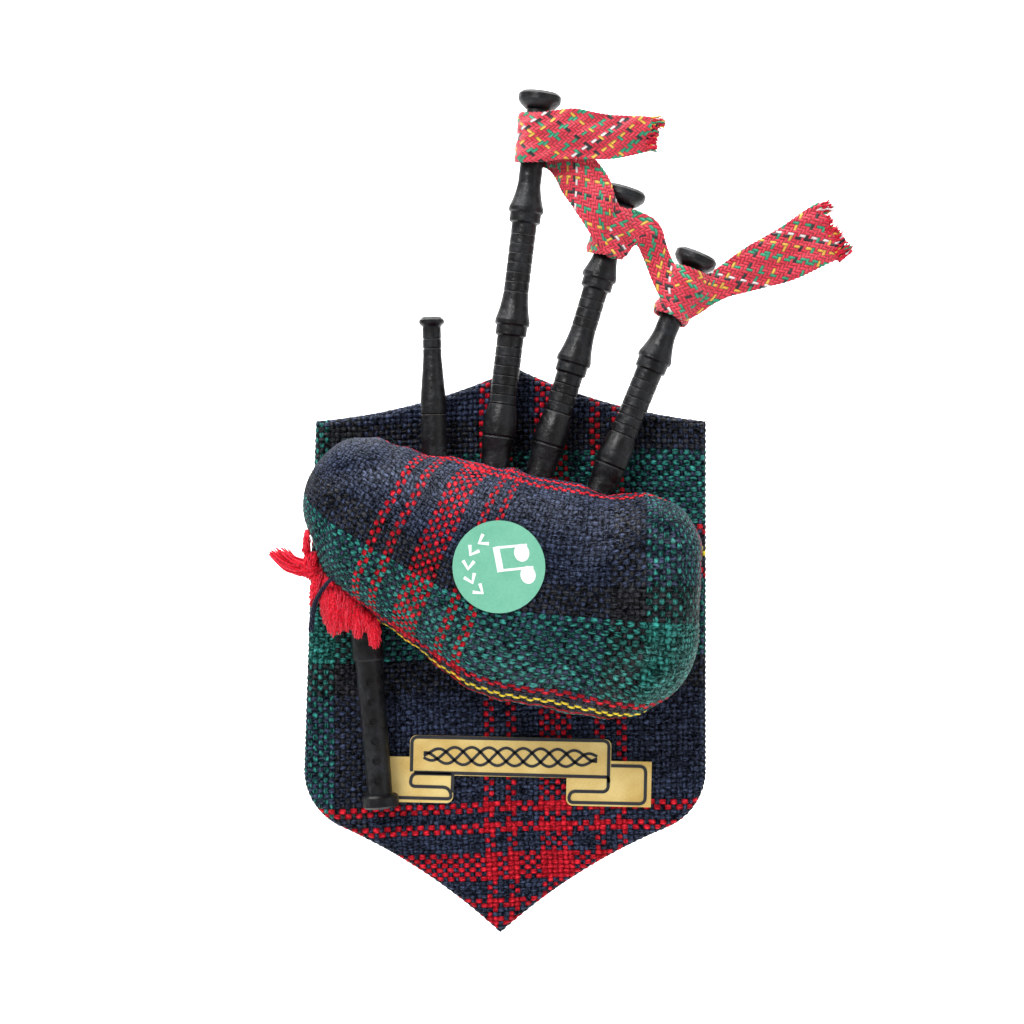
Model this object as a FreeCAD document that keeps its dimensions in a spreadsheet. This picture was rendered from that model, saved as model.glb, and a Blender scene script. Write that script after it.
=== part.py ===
import FreeCAD, Part
import math
import os
from types import SimpleNamespace

import Sketcher

# A souvenir set of bagpipes on a fridge magnet: a tartan shield plaque that carries a stuffed tartan bag,
# three drones tied with a braid, a blowpipe, a chanter and a sound module that plays when the bag is pressed.
# Millimetres. +Z is up, along the drones. -Y is the front. The origin is the middle of the magnet's back face.
# "depth" is a distance from that back face towards the front, so a point's y is minus its depth.

V = FreeCAD.Vector

DRIVING_SIZES = {
    # the plaque, from the magnet forwards
    "magnet_width": 40.0,
    "magnet_height": 25.0,
    "magnet_thickness": 2.0,
    "liner_thickness": 0.6,
    "liner_margin": 1.6,
    "board_thickness": 2.2,
    "cloth_thickness": 0.8,
    "shield_width": 61.2,
    "shield_left_inset": 1.8,
    "shield_shoulder": 35.1,
    "shield_peak": 43.2,
    "shield_peak_x": 1.6,
    "shield_hip": 18.0,
    "shield_point": 42.8,
    "shield_point_x": -0.7,
    "hip_round": 9.5,
    "hip_turn": 67.0,
    "brow_bow": 90.0,
    "flank_bow": 88.0,
    "shield_corner_round": 0.8,
    # the scroll label
    "scroll_thickness": 0.5,
    "banner_width": 30.6,
    "banner_height": 6.0,
    "scroll_width": 43.0,
    "scroll_tail_inset": 6.7,
    "scroll_tail_top": 0.3,
    "scroll_tail_drop": 7.2,
    "scroll_round": 1.0,
    "scroll_x": 0.83,
    "scroll_z": -15.94,
    "scroll_tilt": 1.2,
    # the bag: circles whose hull is its outline
    "bag_thickness": 24.0,
    "bag_cloth": 0.9,
    "bag_crown": 47.0,
    "bag_crown_rise": 0.6,
    "bag_front_round": 6.0,
    "bag_back_round": 2.4,
    "crest_x": -20.8,
    "crest_z": 22.9,
    "crest_round": 9.4,
    "neck_x": -20.0,
    "neck_z": 16.8,
    "neck_round": 8.3,
    "sag_x": 3.0,
    "sag_z": 9.0,
    "sag_round": 16.4,
    "belly_x": 15.5,
    "belly_z": 4.2,
    "belly_round": 13.7,
    "tail_x": 21.3,
    "tail_z": 15.4,
    "tail_round": 8.0,
    # the pressing button and the sound module behind it
    "button_x": -0.8,
    "button_z": 13.5,
    "label_radius": 6.6,
    "label_thickness": 0.15,
    "press_travel": 1.2,
    "button_radius": 7.0,
    "button_cap": 1.5,
    "stem_radius": 2.6,
    "stop_gap": 0.3,
    "running_gap": 0.05,
    "case_radius": 11.0,
    "case_depth": 13.0,
    "case_wall": 1.2,
    "spring_well": 3.6,
    "well_radius": 4.8,
    "spring_radius": 3.9,
    "spring_wire": 0.4,
    "spring_turns": 3.5,
    "card_thickness": 1.0,
    "card_ledge": 5.9,
    "card_radius": 9.4,
    "dome_radius": 3.2,
    "dome_height": 0.6,
    "chip_radius": 2.3,
    "chip_height": 1.0,
    "chip_offset": 6.2,
    "disc_radius": 8.4,
    "disc_thickness": 0.35,
    "cell_radius": 3.95,
    "cell_height": 3.6,
    "cell_gap": 0.3,
    "strip_thickness": 0.25,
    "lead_radius": 0.3,
    "lead_offset": 7.6,
    "voice_hole": 0.8,
    "voice_ring": 4.5,
    "fill_gap": 0.1,
    # what all three drones share
    "pipe_depth": 9.0,
    "drone_cap_radius": 3.24,
    "drone_cap_rim": 1.3,
    "drone_cap_height": 2.7,
    "drone_neck_radius": 1.75,
    "drone_stem_radius": 1.9,
    "drone_bead_radius": 2.64,
    "drone_collar_radius": 2.36,
    "drone_collar_height": 1.6,
    "drone_flare": 3.6,
    "drone_long_flare": 4.6,
    "drone_root_radius": 2.02,
    "drone_foot_radius": 2.5,
    "drone_foot_flare": 5.2,
    "drone_tenon_radius": 2.16,
    "drone_tenon_taper": 2.4,
    "comb_pitch": 1.45,
    "comb_depth": 0.09,
    "comb_width": 0.26,
    # each drone: the middle of its top face, its lean, and places measured down from its top
    "bass_x": 5.37,
    "bass_z": 84.5,
    "bass_lean": 7.0,
    "bass_length": 63.5,
    "bass_upper_bead": 17.8,
    "bass_lower_bead": 34.9,
    "bass_foot": 52.2,
    "middle_x": 18.3,
    "middle_z": 70.1,
    "middle_lean": 16.9,
    "middle_length": 50.5,
    "middle_upper_bead": 13.9,
    "middle_lower_bead": 27.2,
    "middle_foot": 40.4,
    "outer_x": 29.1,
    "outer_z": 60.3,
    "outer_lean": 22.4,
    "outer_length": 42.0,
    "outer_lower_bead": 17.1,
    "outer_foot": 34.6,
    # the blowpipe
    "blow_x": -11.07,
    "blow_z": 50.7,
    "blow_lean": -1.2,
    "blow_length": 27.5,
    "blow_lip_radius": 1.9,
    "blow_lip_height": 1.45,
    "blow_bore_radius": 0.8,
    "blow_bore_depth": 1.2,
    "blow_neck_radius": 1.4,
    "blow_taper_start": 6.0,
    "blow_taper_end": 12.4,
    "blow_body_radius": 1.92,
    "blow_ring": 14.7,
    # the chanter, hanging from the bag
    "chanter_x": -21.6,
    "chanter_z": 12.0,
    "chanter_gap": 3.4,
    "chanter_lean": -4.8,
    "chanter_length": 35.4,
    "chanter_head_radius": 2.4,
    "chanter_head_length": 13.2,
    "chanter_body_radius": 2.08,
    "chanter_waist_radius": 1.88,
    "chanter_foot_radius": 2.75,
    "chanter_foot_height": 2.0,
    "finger_hole_radius": 0.6,
    "finger_hole_recess": 0.45,
    "finger_hole_first": 16.3,
    "finger_hole_pitch": 2.97,
    # the red wool fringe in the bag's lower seam
    "fringe_drop": 3.6,
    "fringe_gap": 6.0,
    "fringe_thickness": 3.0,
    "fringe_start": 190.0,
    "fringe_bend": 232.0,
    "fringe_run": 10.5,
    # the braid that ties the drones
    "braid_width": 7.6,
    "braid_thickness": 0.7,
    "braid_gap": 0.15,
}
COMB_RINGS = 7
MIDDLE_RINGS = 4
FINGER_HOLES = 6
VOICE_HOLES = 6
CELLS = 3


class Size:
    """A length or angle of the design: its value, and the spreadsheet expression that gives it."""

    def __init__(self, value, text):
        self.value = float(value)
        self.text = text

    def __add__(self, other):
        other = as_size(other)
        return Size(self.value + other.value, f"({self.text} + {other.text})")

    def __sub__(self, other):
        other = as_size(other)
        return Size(self.value - other.value, f"({self.text} - {other.text})")

    def __mul__(self, other):
        other = as_size(other)
        return Size(self.value * other.value, f"({self.text} * {other.text})")

    def __truediv__(self, other):
        other = as_size(other)
        return Size(self.value / other.value, f"({self.text} / {other.text})")

    def __neg__(self):
        return Size(-self.value, f"(0 - {self.text})")

    def __radd__(self, other):
        return as_size(other) + self

    def __rsub__(self, other):
        return as_size(other) - self


def as_size(number):
    return number if isinstance(number, Size) else Size(number, str(float(number)))


def sine(angle):
    angle = as_size(angle)
    return Size(math.sin(math.radians(angle.value)), f"sin({angle.text} * 1deg)")


def cosine(angle):
    angle = as_size(angle)
    return Size(math.cos(math.radians(angle.value)), f"cos({angle.text} * 1deg)")


def size_sheet(doc):
    """The driving sizes as a spreadsheet, and as Size values that name its cells."""
    sheet = doc.addObject("Spreadsheet::Sheet", "sizes")
    for row, (name, value) in enumerate(DRIVING_SIZES.items(), start=1):
        sheet.set(f"A{row}", name)
        sheet.set(f"B{row}", str(value))
        sheet.setAlias(f"B{row}", name)
    doc.recompute()
    return SimpleNamespace(**{n: Size(v, f"sizes.{n}") for n, v in DRIVING_SIZES.items()})


doc = FreeCAD.newDocument("bagpipe_magnet")
s = size_sheet(doc)
ZERO = Size(0, "0")

# Depths that follow from the stack: magnet, liner, board, cloth, bag.
liner_back = s.magnet_thickness
board_back = liner_back + s.liner_thickness
board_front = board_back + s.board_thickness
plaque_front = board_front + s.cloth_thickness
chanter_depth = plaque_front + s.chanter_gap
bag_front = plaque_front + s.bag_thickness
cap_front = bag_front - s.bag_cloth
cap_back = cap_front - s.button_cap
case_front = cap_back - s.press_travel - s.stop_gap
case_back = case_front - s.case_depth


# ---- drawing helpers ----


def new_body(label, plane="XZ_Plane"):
    """A PartDesign body and its first sketch, on one of the body's own planes."""
    body = doc.addObject("PartDesign::Body", label)
    body.Label = label
    return body, new_sketch(body, plane)


def new_sketch(body, plane="XZ_Plane"):
    sketch = body.newObject("Sketcher::SketchObject", body.Label + "_sketch")
    support = [f for f in body.Origin.OriginFeatures if f.Role == plane]
    sketch.AttachmentSupport = [(support[0], "")]
    sketch.MapMode = "FlatFace"
    return sketch


def bind(thing, **properties):
    """Sets each property from its Size, by expression."""
    for name, size in properties.items():
        thing.setExpression(name, as_size(size).text)


def hold(sketch, kind, *where, size):
    """A constraint whose value follows a Size."""
    index = sketch.addConstraint(Sketcher.Constraint(kind, *where, size.value))
    sketch.setExpression(f"Constraints[{index}]", size.text)


def bowed(a, b, radius):
    """An arc between a and b. A positive radius bows it to the left of the way from a to b. A sketch takes an arc
    anticlockwise, so one that bows to the left is given from b to a."""
    chord = b - a
    half = chord.Length / 2
    rise = abs(radius) - math.sqrt(radius * radius - half * half)
    left = V(-chord.y, chord.x, 0).normalize()
    crown = (a + b) / 2 + left * math.copysign(rise, radius)
    return Part.Arc(b, crown, a) if radius > 0 else Part.Arc(a, crown, b)


def draw_outline(sketch, corners, bows=None):
    """A closed outline through corners, (x, y) pairs of Sizes. bows gives the signed radius of an edge that is an arc."""
    bows = bows or {}
    points = [V(as_size(x).value, as_size(y).value, 0) for x, y in corners]
    ends = []
    for i, a in enumerate(points):
        b = points[(i + 1) % len(points)]
        if i in bows:
            arc = bowed(a, b, bows[i].value)
            geo = sketch.addGeometry(arc)
            forward = (arc.StartPoint - a).Length < (arc.EndPoint - a).Length
            ends.append((geo, 1, 2) if forward else (geo, 2, 1))
        else:
            ends.append((sketch.addGeometry(Part.LineSegment(a, b)), 1, 2))
    for i, (geo, start, end) in enumerate(ends):
        after = ends[(i + 1) % len(ends)]
        sketch.addConstraint(Sketcher.Constraint("Coincident", geo, end, after[0], after[1]))
    for i, (geo, start, end) in enumerate(ends):
        x, y = corners[i]
        hold(sketch, "DistanceX", -1, 1, geo, start, size=as_size(x))
        hold(sketch, "DistanceY", -1, 1, geo, start, size=as_size(y))
        if i in bows:
            radius = bows[i] if bows[i].value > 0 else -bows[i]
            hold(sketch, "Radius", geo, size=radius)


def draw_hull(sketch, circles):
    """The outline that a band round the circles takes: arcs joined by tangent lines. circles are (x, y, radius), clockwise."""
    arcs, lines, touch = [], [], []
    for i, (x, y, r) in enumerate(circles):
        nx, ny, nr = circles[(i + 1) % len(circles)]
        dx, dy = nx.value - x.value, ny.value - y.value
        turn = math.atan2(dy, dx) + math.pi / 2 - math.asin((nr.value - r.value) / math.hypot(dx, dy)) * -1
        out = V(math.cos(turn), math.sin(turn), 0)
        here, there = V(x.value, y.value, 0), V(nx.value, ny.value, 0)
        touch.append((here + out * r.value, there + out * nr.value, turn))
    for i, (x, y, r) in enumerate(circles):
        before, after = touch[i - 1][2], touch[i][2]
        while before < after:
            before += 2 * math.pi
        circle = Part.Circle(V(x.value, y.value, 0), V(0, 0, 1), r.value)
        arcs.append(sketch.addGeometry(Part.ArcOfCircle(circle, after, before)))
        lines.append(sketch.addGeometry(Part.LineSegment(touch[i][0], touch[i][1])))
    for i, (x, y, r) in enumerate(circles):
        following = arcs[(i + 1) % len(arcs)]
        sketch.addConstraint(Sketcher.Constraint("Tangent", lines[i], 1, arcs[i], 1))
        sketch.addConstraint(Sketcher.Constraint("Tangent", lines[i], 2, following, 2))
        hold(sketch, "DistanceX", -1, 1, arcs[i], 3, size=x)
        hold(sketch, "DistanceY", -1, 1, arcs[i], 3, size=y)
        hold(sketch, "Radius", arcs[i], size=r)


def draw_circle(sketch, x, y, radius):
    geo = sketch.addGeometry(Part.Circle(V(x.value, y.value, 0), V(0, 0, 1), radius.value))
    hold(sketch, "DistanceX", -1, 1, geo, 3, size=x)
    hold(sketch, "DistanceY", -1, 1, geo, 3, size=y)
    hold(sketch, "Radius", geo, size=radius)


def place(thing, x=ZERO, depth=ZERO, z=ZERO, tilt=ZERO):
    """Puts a piece at x, depth and z, leaning to the right of upright by tilt degrees."""
    thing.Placement = FreeCAD.Placement(V(0, 0, 0), FreeCAD.Rotation(V(0, 1, 0), 1))
    bind(thing, **{
        "Placement.Base.x": x,
        "Placement.Base.y": -depth,
        "Placement.Base.z": z,
        "Placement.Rotation.Angle": tilt,
    })


def pad(body, sketch, length):
    feature = body.newObject("PartDesign::Pad", body.Label + "_pad")
    feature.Profile = sketch
    bind(feature, Length=length)
    return feature


def revolve(body, sketch, axis="V_Axis"):
    feature = body.newObject("PartDesign::Revolution", body.Label + "_turned")
    feature.Profile = sketch
    feature.ReferenceAxis = (sketch, [axis])
    feature.Angle = 360
    return feature


def cut_round(body, sketch):
    """A turned groove round the body's axis."""
    feature = body.newObject("PartDesign::Groove", body.Label + "_groove")
    feature.Profile = sketch
    feature.ReferenceAxis = (sketch, ["V_Axis"])
    feature.Angle = 360
    return feature


def repeat_along(body, feature, sketch, axis, length, count):
    pattern = body.newObject("PartDesign::LinearPattern", body.Label + "_row")
    pattern.Originals = [feature]
    pattern.Direction = (sketch, [axis])
    pattern.Occurrences = count
    bind(pattern, Length=length)
    body.Tip = pattern
    return pattern


def round_edges(body, feature, picked, radius):
    """Fillets the edges of a body's feature that picked(edge) accepts."""
    doc.recompute()
    names = [f"Edge{i}" for i, edge in enumerate(feature.Shape.Edges, start=1) if picked(edge)]
    fillet = body.newObject("PartDesign::Fillet", body.Label + "_rounded")
    fillet.Base = (feature, names)
    bind(fillet, Radius=radius)
    return fillet


def runs_front_to_back(edge):
    if len(edge.Vertexes) < 2:
        return False
    a, b = edge.Vertexes[0].Point, edge.Vertexes[1].Point
    return abs(a.x - b.x) + abs(a.z - b.z) < 1e-6


def tool(kind, label, **sizes):
    """A Part primitive that shapes another piece."""
    shape = doc.addObject("Part::" + kind, label)
    bind(shape, **sizes)
    return shape


def faces_front(thing):
    """Turns a primitive's own Z axis to the front."""
    thing.Placement = FreeCAD.Placement(V(0, 0, 0), FreeCAD.Rotation(V(1, 0, 0), 90))


def cylinder_to_front(label, radius, back, front, x=s.button_x, z=s.button_z):
    """A cylinder on an axis that runs from depth back to depth front."""
    shape = tool("Cylinder", label, Radius=radius, Height=front - back)
    faces_front(shape)
    bind(shape, **{"Placement.Base.x": x, "Placement.Base.y": -back, "Placement.Base.z": z})
    return shape


def join(label, pieces):
    fused = doc.addObject("Part::MultiFuse", label)
    fused.Shapes = pieces
    return fused


def subtract(label, base, cutter):
    cut = doc.addObject("Part::Cut", label)
    cut.Base = base
    cut.Tool = cutter
    return cut


# ---- the plaque ----


def shield_corners(grow):
    """The shield's outline, grown sideways and along its height by grow, with the arcs of its brow, hips and flanks."""
    half = s.shield_width / 2 + grow
    shoulder = s.shield_shoulder + grow
    hip = -s.shield_hip
    hip_round = s.hip_round + grow
    flank_x = half - hip_round * (1 - cosine(s.hip_turn))
    flank_z = hip - hip_round * sine(s.hip_turn)
    corners = [
        (s.shield_peak_x, s.shield_peak + grow),
        (half, shoulder),
        (half, hip),
        (flank_x, flank_z),
        (s.shield_point_x, -(s.shield_point + grow)),
        (-flank_x, flank_z),
        (-half, hip),
        (s.shield_left_inset - half, shoulder),
    ]
    bows = {
        0: -s.brow_bow,
        2: hip_round,
        3: -s.flank_bow,
        4: -s.flank_bow,
        5: hip_round,
        7: -s.brow_bow,
    }
    return corners, bows


def shield_plate(label, grow, back, thickness):
    body, sketch = new_body(label)
    draw_outline(sketch, *shield_corners(grow))
    plate = pad(body, sketch, thickness)
    round_edges(body, plate, at_the_brow, s.shield_corner_round)
    place(body, depth=back)
    return body


def at_the_brow(edge):
    """The shield's peak and its two shoulders, which are its only sharp corners but the bottom point."""
    return runs_front_to_back(edge) and edge.Vertexes[0].Point.z > 0


def magnet_sheet():
    body, sketch = new_body("magnet_sheet")
    half, high = s.magnet_width / 2, s.magnet_height / 2
    draw_outline(sketch, [(-half, -high), (half, -high), (half, high), (-half, high)])
    block = pad(body, sketch, s.magnet_thickness)
    round_edges(body, block, runs_front_to_back, s.shield_corner_round)
    place(body)
    return body


def shield_cloth(board):
    """Cloth on the front of the board and round its edge, as far back as the liner."""
    block = shield_plate("shield_block", ZERO, board_back, s.board_thickness + s.cloth_thickness)
    return subtract("shield_tartan", block, board)


def scroll_label():
    """A banner with a folded tail behind each end, cut from one sheet."""
    body, sketch = new_body("scroll_label")
    half, high = s.banner_width / 2, s.banner_height / 2
    outside, inside = s.scroll_width / 2, s.banner_width / 2 - s.scroll_tail_inset
    top, low = -s.scroll_tail_top, -s.scroll_tail_drop
    right = [
        (half, high), (half, top), (outside, top), (outside, low), (inside, low), (inside, -high),
    ]
    left = [(-x, z) for x, z in reversed(right)]
    draw_outline(sketch, right + left)
    sheet = pad(body, sketch, s.scroll_thickness)

    def at_a_rounded_corner(edge):
        if not runs_front_to_back(edge):
            return False
        point = edge.Vertexes[0].Point
        at_top = abs(point.z - high.value) < 1e-6
        at_fold = abs(point.z - low.value) < 1e-6 and abs(abs(point.x) - inside.value) < 1e-6
        return at_top or at_fold

    round_edges(body, sheet, at_a_rounded_corner, s.scroll_round)
    place(body, s.scroll_x, plaque_front, s.scroll_z, s.scroll_tilt)
    return body


# ---- pipes ----


def turned_pipe(label, corners, bows, x, z, lean, depth=s.pipe_depth):
    """A moulded pipe turned about its axis. corners are (radius, distance down from the top)."""
    body, sketch = new_body(label)
    draw_outline(sketch, [(r, -down) for r, down in corners], bows)
    revolve(body, sketch)
    place(body, x, depth, z, lean)
    return body


def ring_groove(body, radius, down, depth, width):
    """One fine V groove round a pipe."""
    sketch = new_sketch(body)
    clear = depth
    draw_outline(sketch, [
        (radius - depth, -down),
        (radius + clear, -down + width),
        (radius + clear, -down - width),
    ])
    return cut_round(body, sketch), sketch


def comb_rings(body, radius, first_down, count=COMB_RINGS):
    """The row of fine rings that a turner combs into a drone's stem."""
    doc.recompute()
    groove, sketch = ring_groove(body, radius, first_down, s.comb_depth, s.comb_width)
    doc.recompute()
    row = body.newObject("PartDesign::LinearPattern", body.Label + "_combing")
    row.Originals = [groove]
    row.Direction = (sketch, ["V_Axis"])
    row.Reversed = True
    row.Occurrences = count
    bind(row, Length=s.comb_pitch * (count - 1))
    body.Tip = row
    doc.recompute()


def drone(label, x, z, lean, length, beads, foot, rings=COMB_RINGS):
    """A drone: cap, neck, one flared bead, collar and combed stem for each joint, then a foot and the tenon inside
    the bag. rings is how many combed rings each stem has room for."""
    rim_drop = s.drone_cap_rim / 3
    corners = [
        (ZERO, rim_drop),
        (s.drone_neck_radius, rim_drop),
        (s.drone_cap_radius - rim_drop, ZERO),
        (s.drone_cap_radius, rim_drop),
        (s.drone_cap_radius, s.drone_cap_rim),
        (s.drone_neck_radius, s.drone_cap_height),
    ]
    bows = {4: s.drone_cap_radius}
    stem = s.drone_neck_radius
    edge = s.drone_bead_radius - s.drone_collar_radius
    for bead in beads:
        bead_top, bead_low = bead - edge, bead + edge
        collar_low = bead_low + s.drone_collar_height
        following = s.drone_root_radius if bead is beads[-1] else s.drone_stem_radius
        flare = s.drone_flare if bead is beads[0] else s.drone_long_flare
        bows[len(corners)] = -(flare * 4)
        corners += [
            (stem, bead_top - flare),
            (s.drone_bead_radius, bead_top),
            (s.drone_bead_radius, bead_low),
            (s.drone_collar_radius, bead_low + edge),
            (s.drone_collar_radius, collar_low),
            (following, collar_low + edge),
        ]
        stem = following
    bows[len(corners)] = s.drone_foot_flare * 3
    corners += [
        (stem, foot - s.drone_foot_flare),
        (s.drone_foot_radius, foot - s.comb_width),
        (s.drone_foot_radius - s.comb_depth * 2, foot),
        (s.drone_foot_radius, foot + s.comb_width),
        (s.drone_tenon_radius, foot + s.drone_tenon_taper),
        (s.drone_tenon_radius, length),
        (ZERO, length),
    ]
    body = turned_pipe(label, corners, bows, x, z, lean)
    radii = [s.drone_stem_radius] * (len(beads) - 1) + [s.drone_root_radius]
    for bead, radius in zip(beads, radii):
        comb_rings(body, radius, bead + s.drone_collar_height + s.comb_pitch * 1.5, count=rings)
    return body


def blowpipe():
    lip_edge = s.blow_lip_height / 3
    corners = [
        (ZERO, s.blow_bore_depth),
        (s.blow_bore_radius, s.blow_bore_depth),
        (s.blow_bore_radius, ZERO),
        (s.blow_lip_radius - lip_edge, ZERO),
        (s.blow_lip_radius, lip_edge),
        (s.blow_lip_radius, s.blow_lip_height - lip_edge),
        (s.blow_lip_radius - lip_edge, s.blow_lip_height),
        (s.blow_neck_radius, s.blow_lip_height),
        (s.blow_neck_radius, s.blow_taper_start),
        (s.blow_body_radius, s.blow_taper_end),
        (s.blow_body_radius, s.blow_length),
        (ZERO, s.blow_length),
    ]
    body = turned_pipe("blowpipe", corners, {}, s.blow_x, s.blow_z, s.blow_lean)
    comb_rings(body, s.blow_neck_radius, s.blow_lip_height + s.comb_pitch * 1.3, count=2)
    ring_groove(body, s.blow_body_radius, s.blow_ring, s.comb_depth, s.comb_width)
    doc.recompute()
    return body


def chanter():
    """The chanter, with a row of moulded finger holes on its front."""
    edge = s.chanter_head_radius - s.chanter_body_radius
    foot_top = s.chanter_length - s.chanter_foot_height
    corners = [
        (ZERO, ZERO),
        (s.chanter_head_radius, ZERO),
        (s.chanter_head_radius, s.chanter_head_length - edge),
        (s.chanter_body_radius, s.chanter_head_length),
        (s.chanter_waist_radius, foot_top),
        (s.chanter_foot_radius - edge, foot_top),
        (s.chanter_foot_radius, foot_top + edge),
        (s.chanter_foot_radius, s.chanter_length - edge),
        (s.chanter_foot_radius - edge, s.chanter_length),
        (s.chanter_waist_radius / 2, s.chanter_length),
        (ZERO, s.chanter_length - edge),
    ]
    body = turned_pipe("chanter", corners, {}, s.chanter_x, s.chanter_z, s.chanter_lean, chanter_depth)
    doc.recompute()
    solid = body.Shape.Volume
    sketch = new_sketch(body)
    draw_circle(sketch, ZERO, -s.finger_hole_first, s.finger_hole_radius)
    bind(sketch, **{"AttachmentOffset.Base.z": s.chanter_waist_radius - s.finger_hole_recess})
    hole = body.newObject("PartDesign::Pocket", "finger_hole")
    hole.Profile = sketch
    hole.Reversed = True
    bind(hole, Length=s.chanter_head_radius)
    doc.recompute()
    repeat_along(body, hole, sketch, "V_Axis", s.finger_hole_pitch * (FINGER_HOLES - 1), FINGER_HOLES)
    body.Tip.Reversed = True
    doc.recompute()
    assert body.Shape.Volume < solid, "the finger holes cut nothing"
    return body


# ---- the bag ----


def bag_block(label, shrink):
    """The bag's full shape, drawn in by shrink all round: a padded outline with a domed front and rounded edges."""
    body, sketch = new_body(label + "_outline")
    circles = [
        (s.crest_x, s.crest_z, s.crest_round - shrink),
        (s.tail_x, s.tail_z, s.tail_round - shrink),
        (s.belly_x, s.belly_z, s.belly_round - shrink),
        (s.sag_x, s.sag_z, s.sag_round - shrink),
        (s.neck_x, s.neck_z, s.neck_round - shrink),
    ]
    draw_hull(sketch, circles)
    pad(body, sketch, s.bag_thickness - shrink * 2)
    place(body, depth=plaque_front + shrink)
    crown = tool("Sphere", label + "_crown", Radius=s.bag_crown - shrink)
    place(crown, s.button_x, bag_front + s.bag_crown_rise - s.bag_crown, s.button_z)
    domed = doc.addObject("Part::Common", label + "_domed")
    domed.Base, domed.Tool = body, crown
    doc.recompute()
    flat_front = -(bag_front - shrink).value
    flat_back = -(plaque_front + shrink).value
    rounding = []
    for i, edge in enumerate(domed.Shape.Edges, start=1):
        box = edge.BoundBox
        if abs(box.YMin - flat_back) < 1e-4 and box.YLength < 1e-4:
            rounding.append((i, (s.bag_back_round - shrink).value, (s.bag_back_round - shrink).value))
        elif box.YMin > flat_front + 1e-3 and not runs_front_to_back(edge):
            rounding.append((i, (s.bag_front_round - shrink).value, (s.bag_front_round - shrink).value))
    rounded = doc.addObject("Part::Fillet", label)
    rounded.Base = domed
    rounded.Edges = rounding
    doc.recompute()
    return rounded


def pipe_socket(label, x, z, lean, length, radius, reach, depth=s.pipe_depth):
    """The room that a pipe's buried end takes, for a stretch of reach above its end."""
    down = length + s.fill_gap
    socket = tool("Cylinder", label, Radius=radius + s.fill_gap, Height=reach)
    place(socket, x - sine(lean) * down, depth, z - cosine(lean) * down, lean)
    return socket


def pipe_sockets(prefix):
    reach = as_size(20)
    return [
        pipe_socket(prefix + "_bass", s.bass_x, s.bass_z, s.bass_lean, s.bass_length, s.drone_tenon_radius, reach),
        pipe_socket(prefix + "_middle", s.middle_x, s.middle_z, s.middle_lean, s.middle_length,
                    s.drone_tenon_radius, reach),
        pipe_socket(prefix + "_outer", s.outer_x, s.outer_z, s.outer_lean, s.outer_length,
                    s.drone_tenon_radius, reach),
        pipe_socket(prefix + "_blow", s.blow_x, s.blow_z, s.blow_lean, s.blow_length, s.blow_body_radius, reach),
        chanter_socket(prefix + "_chanter"),
    ]


def chanter_socket(label):
    """The chanter hangs down out of the bag, so its socket starts above its top and runs down."""
    start = s.fill_gap
    socket = tool("Cylinder", label, Radius=s.chanter_head_radius + s.fill_gap, Height=s.chanter_length)
    down = s.chanter_length - start
    place(
        socket,
        s.chanter_x - sine(s.chanter_lean) * down,
        chanter_depth,
        s.chanter_z - cosine(s.chanter_lean) * down,
        s.chanter_lean,
    )
    return socket


def bag_parts():
    """The sewn cover, and the wadding that fills it round the sound module."""
    outer = bag_block("bag_outer", ZERO)
    inner = bag_block("bag_inner", s.bag_cloth)
    hollow = join("bag_hollow", [bag_block("bag_space", s.bag_cloth)] + pipe_sockets("cover_socket"))
    cover = subtract("bag_cover", outer, hollow)
    plate_front = case_front - s.spring_well
    case_room = cylinder_to_front(
        "case_room", s.case_radius + s.fill_gap, case_back - s.fill_gap, plate_front + s.fill_gap
    )
    button_room = cylinder_to_front(
        "button_room", s.button_radius + s.stop_gap, plate_front, bag_front
    )
    rooms = join("wadding_rooms", [case_room, button_room] + pipe_sockets("wadding_socket"))
    wadding = subtract("bag_wadding", inner, rooms)
    return [cover, wadding]


def fringe():
    """A strip of red wool fringe along the bag's lower left edge: round its neck, then straight on along its hem."""
    body, sketch = new_body("wool_fringe")

    def along(angle, reach, run=ZERO):
        x = s.neck_x + cosine(angle) * reach - sine(angle) * run
        z = s.neck_z + sine(angle) * reach + cosine(angle) * run
        return x, z

    near = s.neck_round + s.fill_gap
    far = s.neck_round + s.fringe_drop
    corners = [
        along(s.fringe_start, near),
        along(s.fringe_bend, near),
        along(s.fringe_bend, near, s.fringe_run),
        along(s.fringe_bend, far, s.fringe_run),
        along(s.fringe_bend, far),
        along(s.fringe_start, far),
    ]
    draw_outline(sketch, corners, {0: -near, 4: far})
    pad(body, sketch, s.fringe_thickness)
    place(body, depth=plaque_front + s.fringe_gap)
    return body


# ---- the button and the sound module ----


def module_body(label, corners):
    """A piece turned about the button's axis. corners are (radius, depth)."""
    body, sketch = new_body(label, "XY_Plane")
    draw_outline(sketch, [(r, -depth) for r, depth in corners])
    revolve(body, sketch)
    place(body, s.button_x, ZERO, s.button_z)
    return body


def press_label():
    """The round paper label on the bag's front, over the button."""
    return module_body("press_label", [
        (ZERO, bag_front),
        (s.label_radius, bag_front),
        (s.label_radius, bag_front + s.label_thickness),
        (ZERO, bag_front + s.label_thickness),
    ])


split = case_back + s.card_ledge + s.card_thickness
card_back = case_back + s.card_ledge
card_front = card_back + s.card_thickness
dome_front = card_front + s.dome_height
stem_end = dome_front + s.press_travel + s.running_gap
well_floor = case_front - s.spring_well
rim_radius = s.well_radius + s.case_wall
card_seat = s.card_radius - s.case_wall / 2
disc_back = case_back + s.case_wall
strip_front = card_back - s.strip_thickness
cell_back = strip_front - s.cell_height
cell_ring = (s.cell_radius * 2 + s.cell_gap) / Size(math.sqrt(3), "sqrt(3)")


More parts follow.
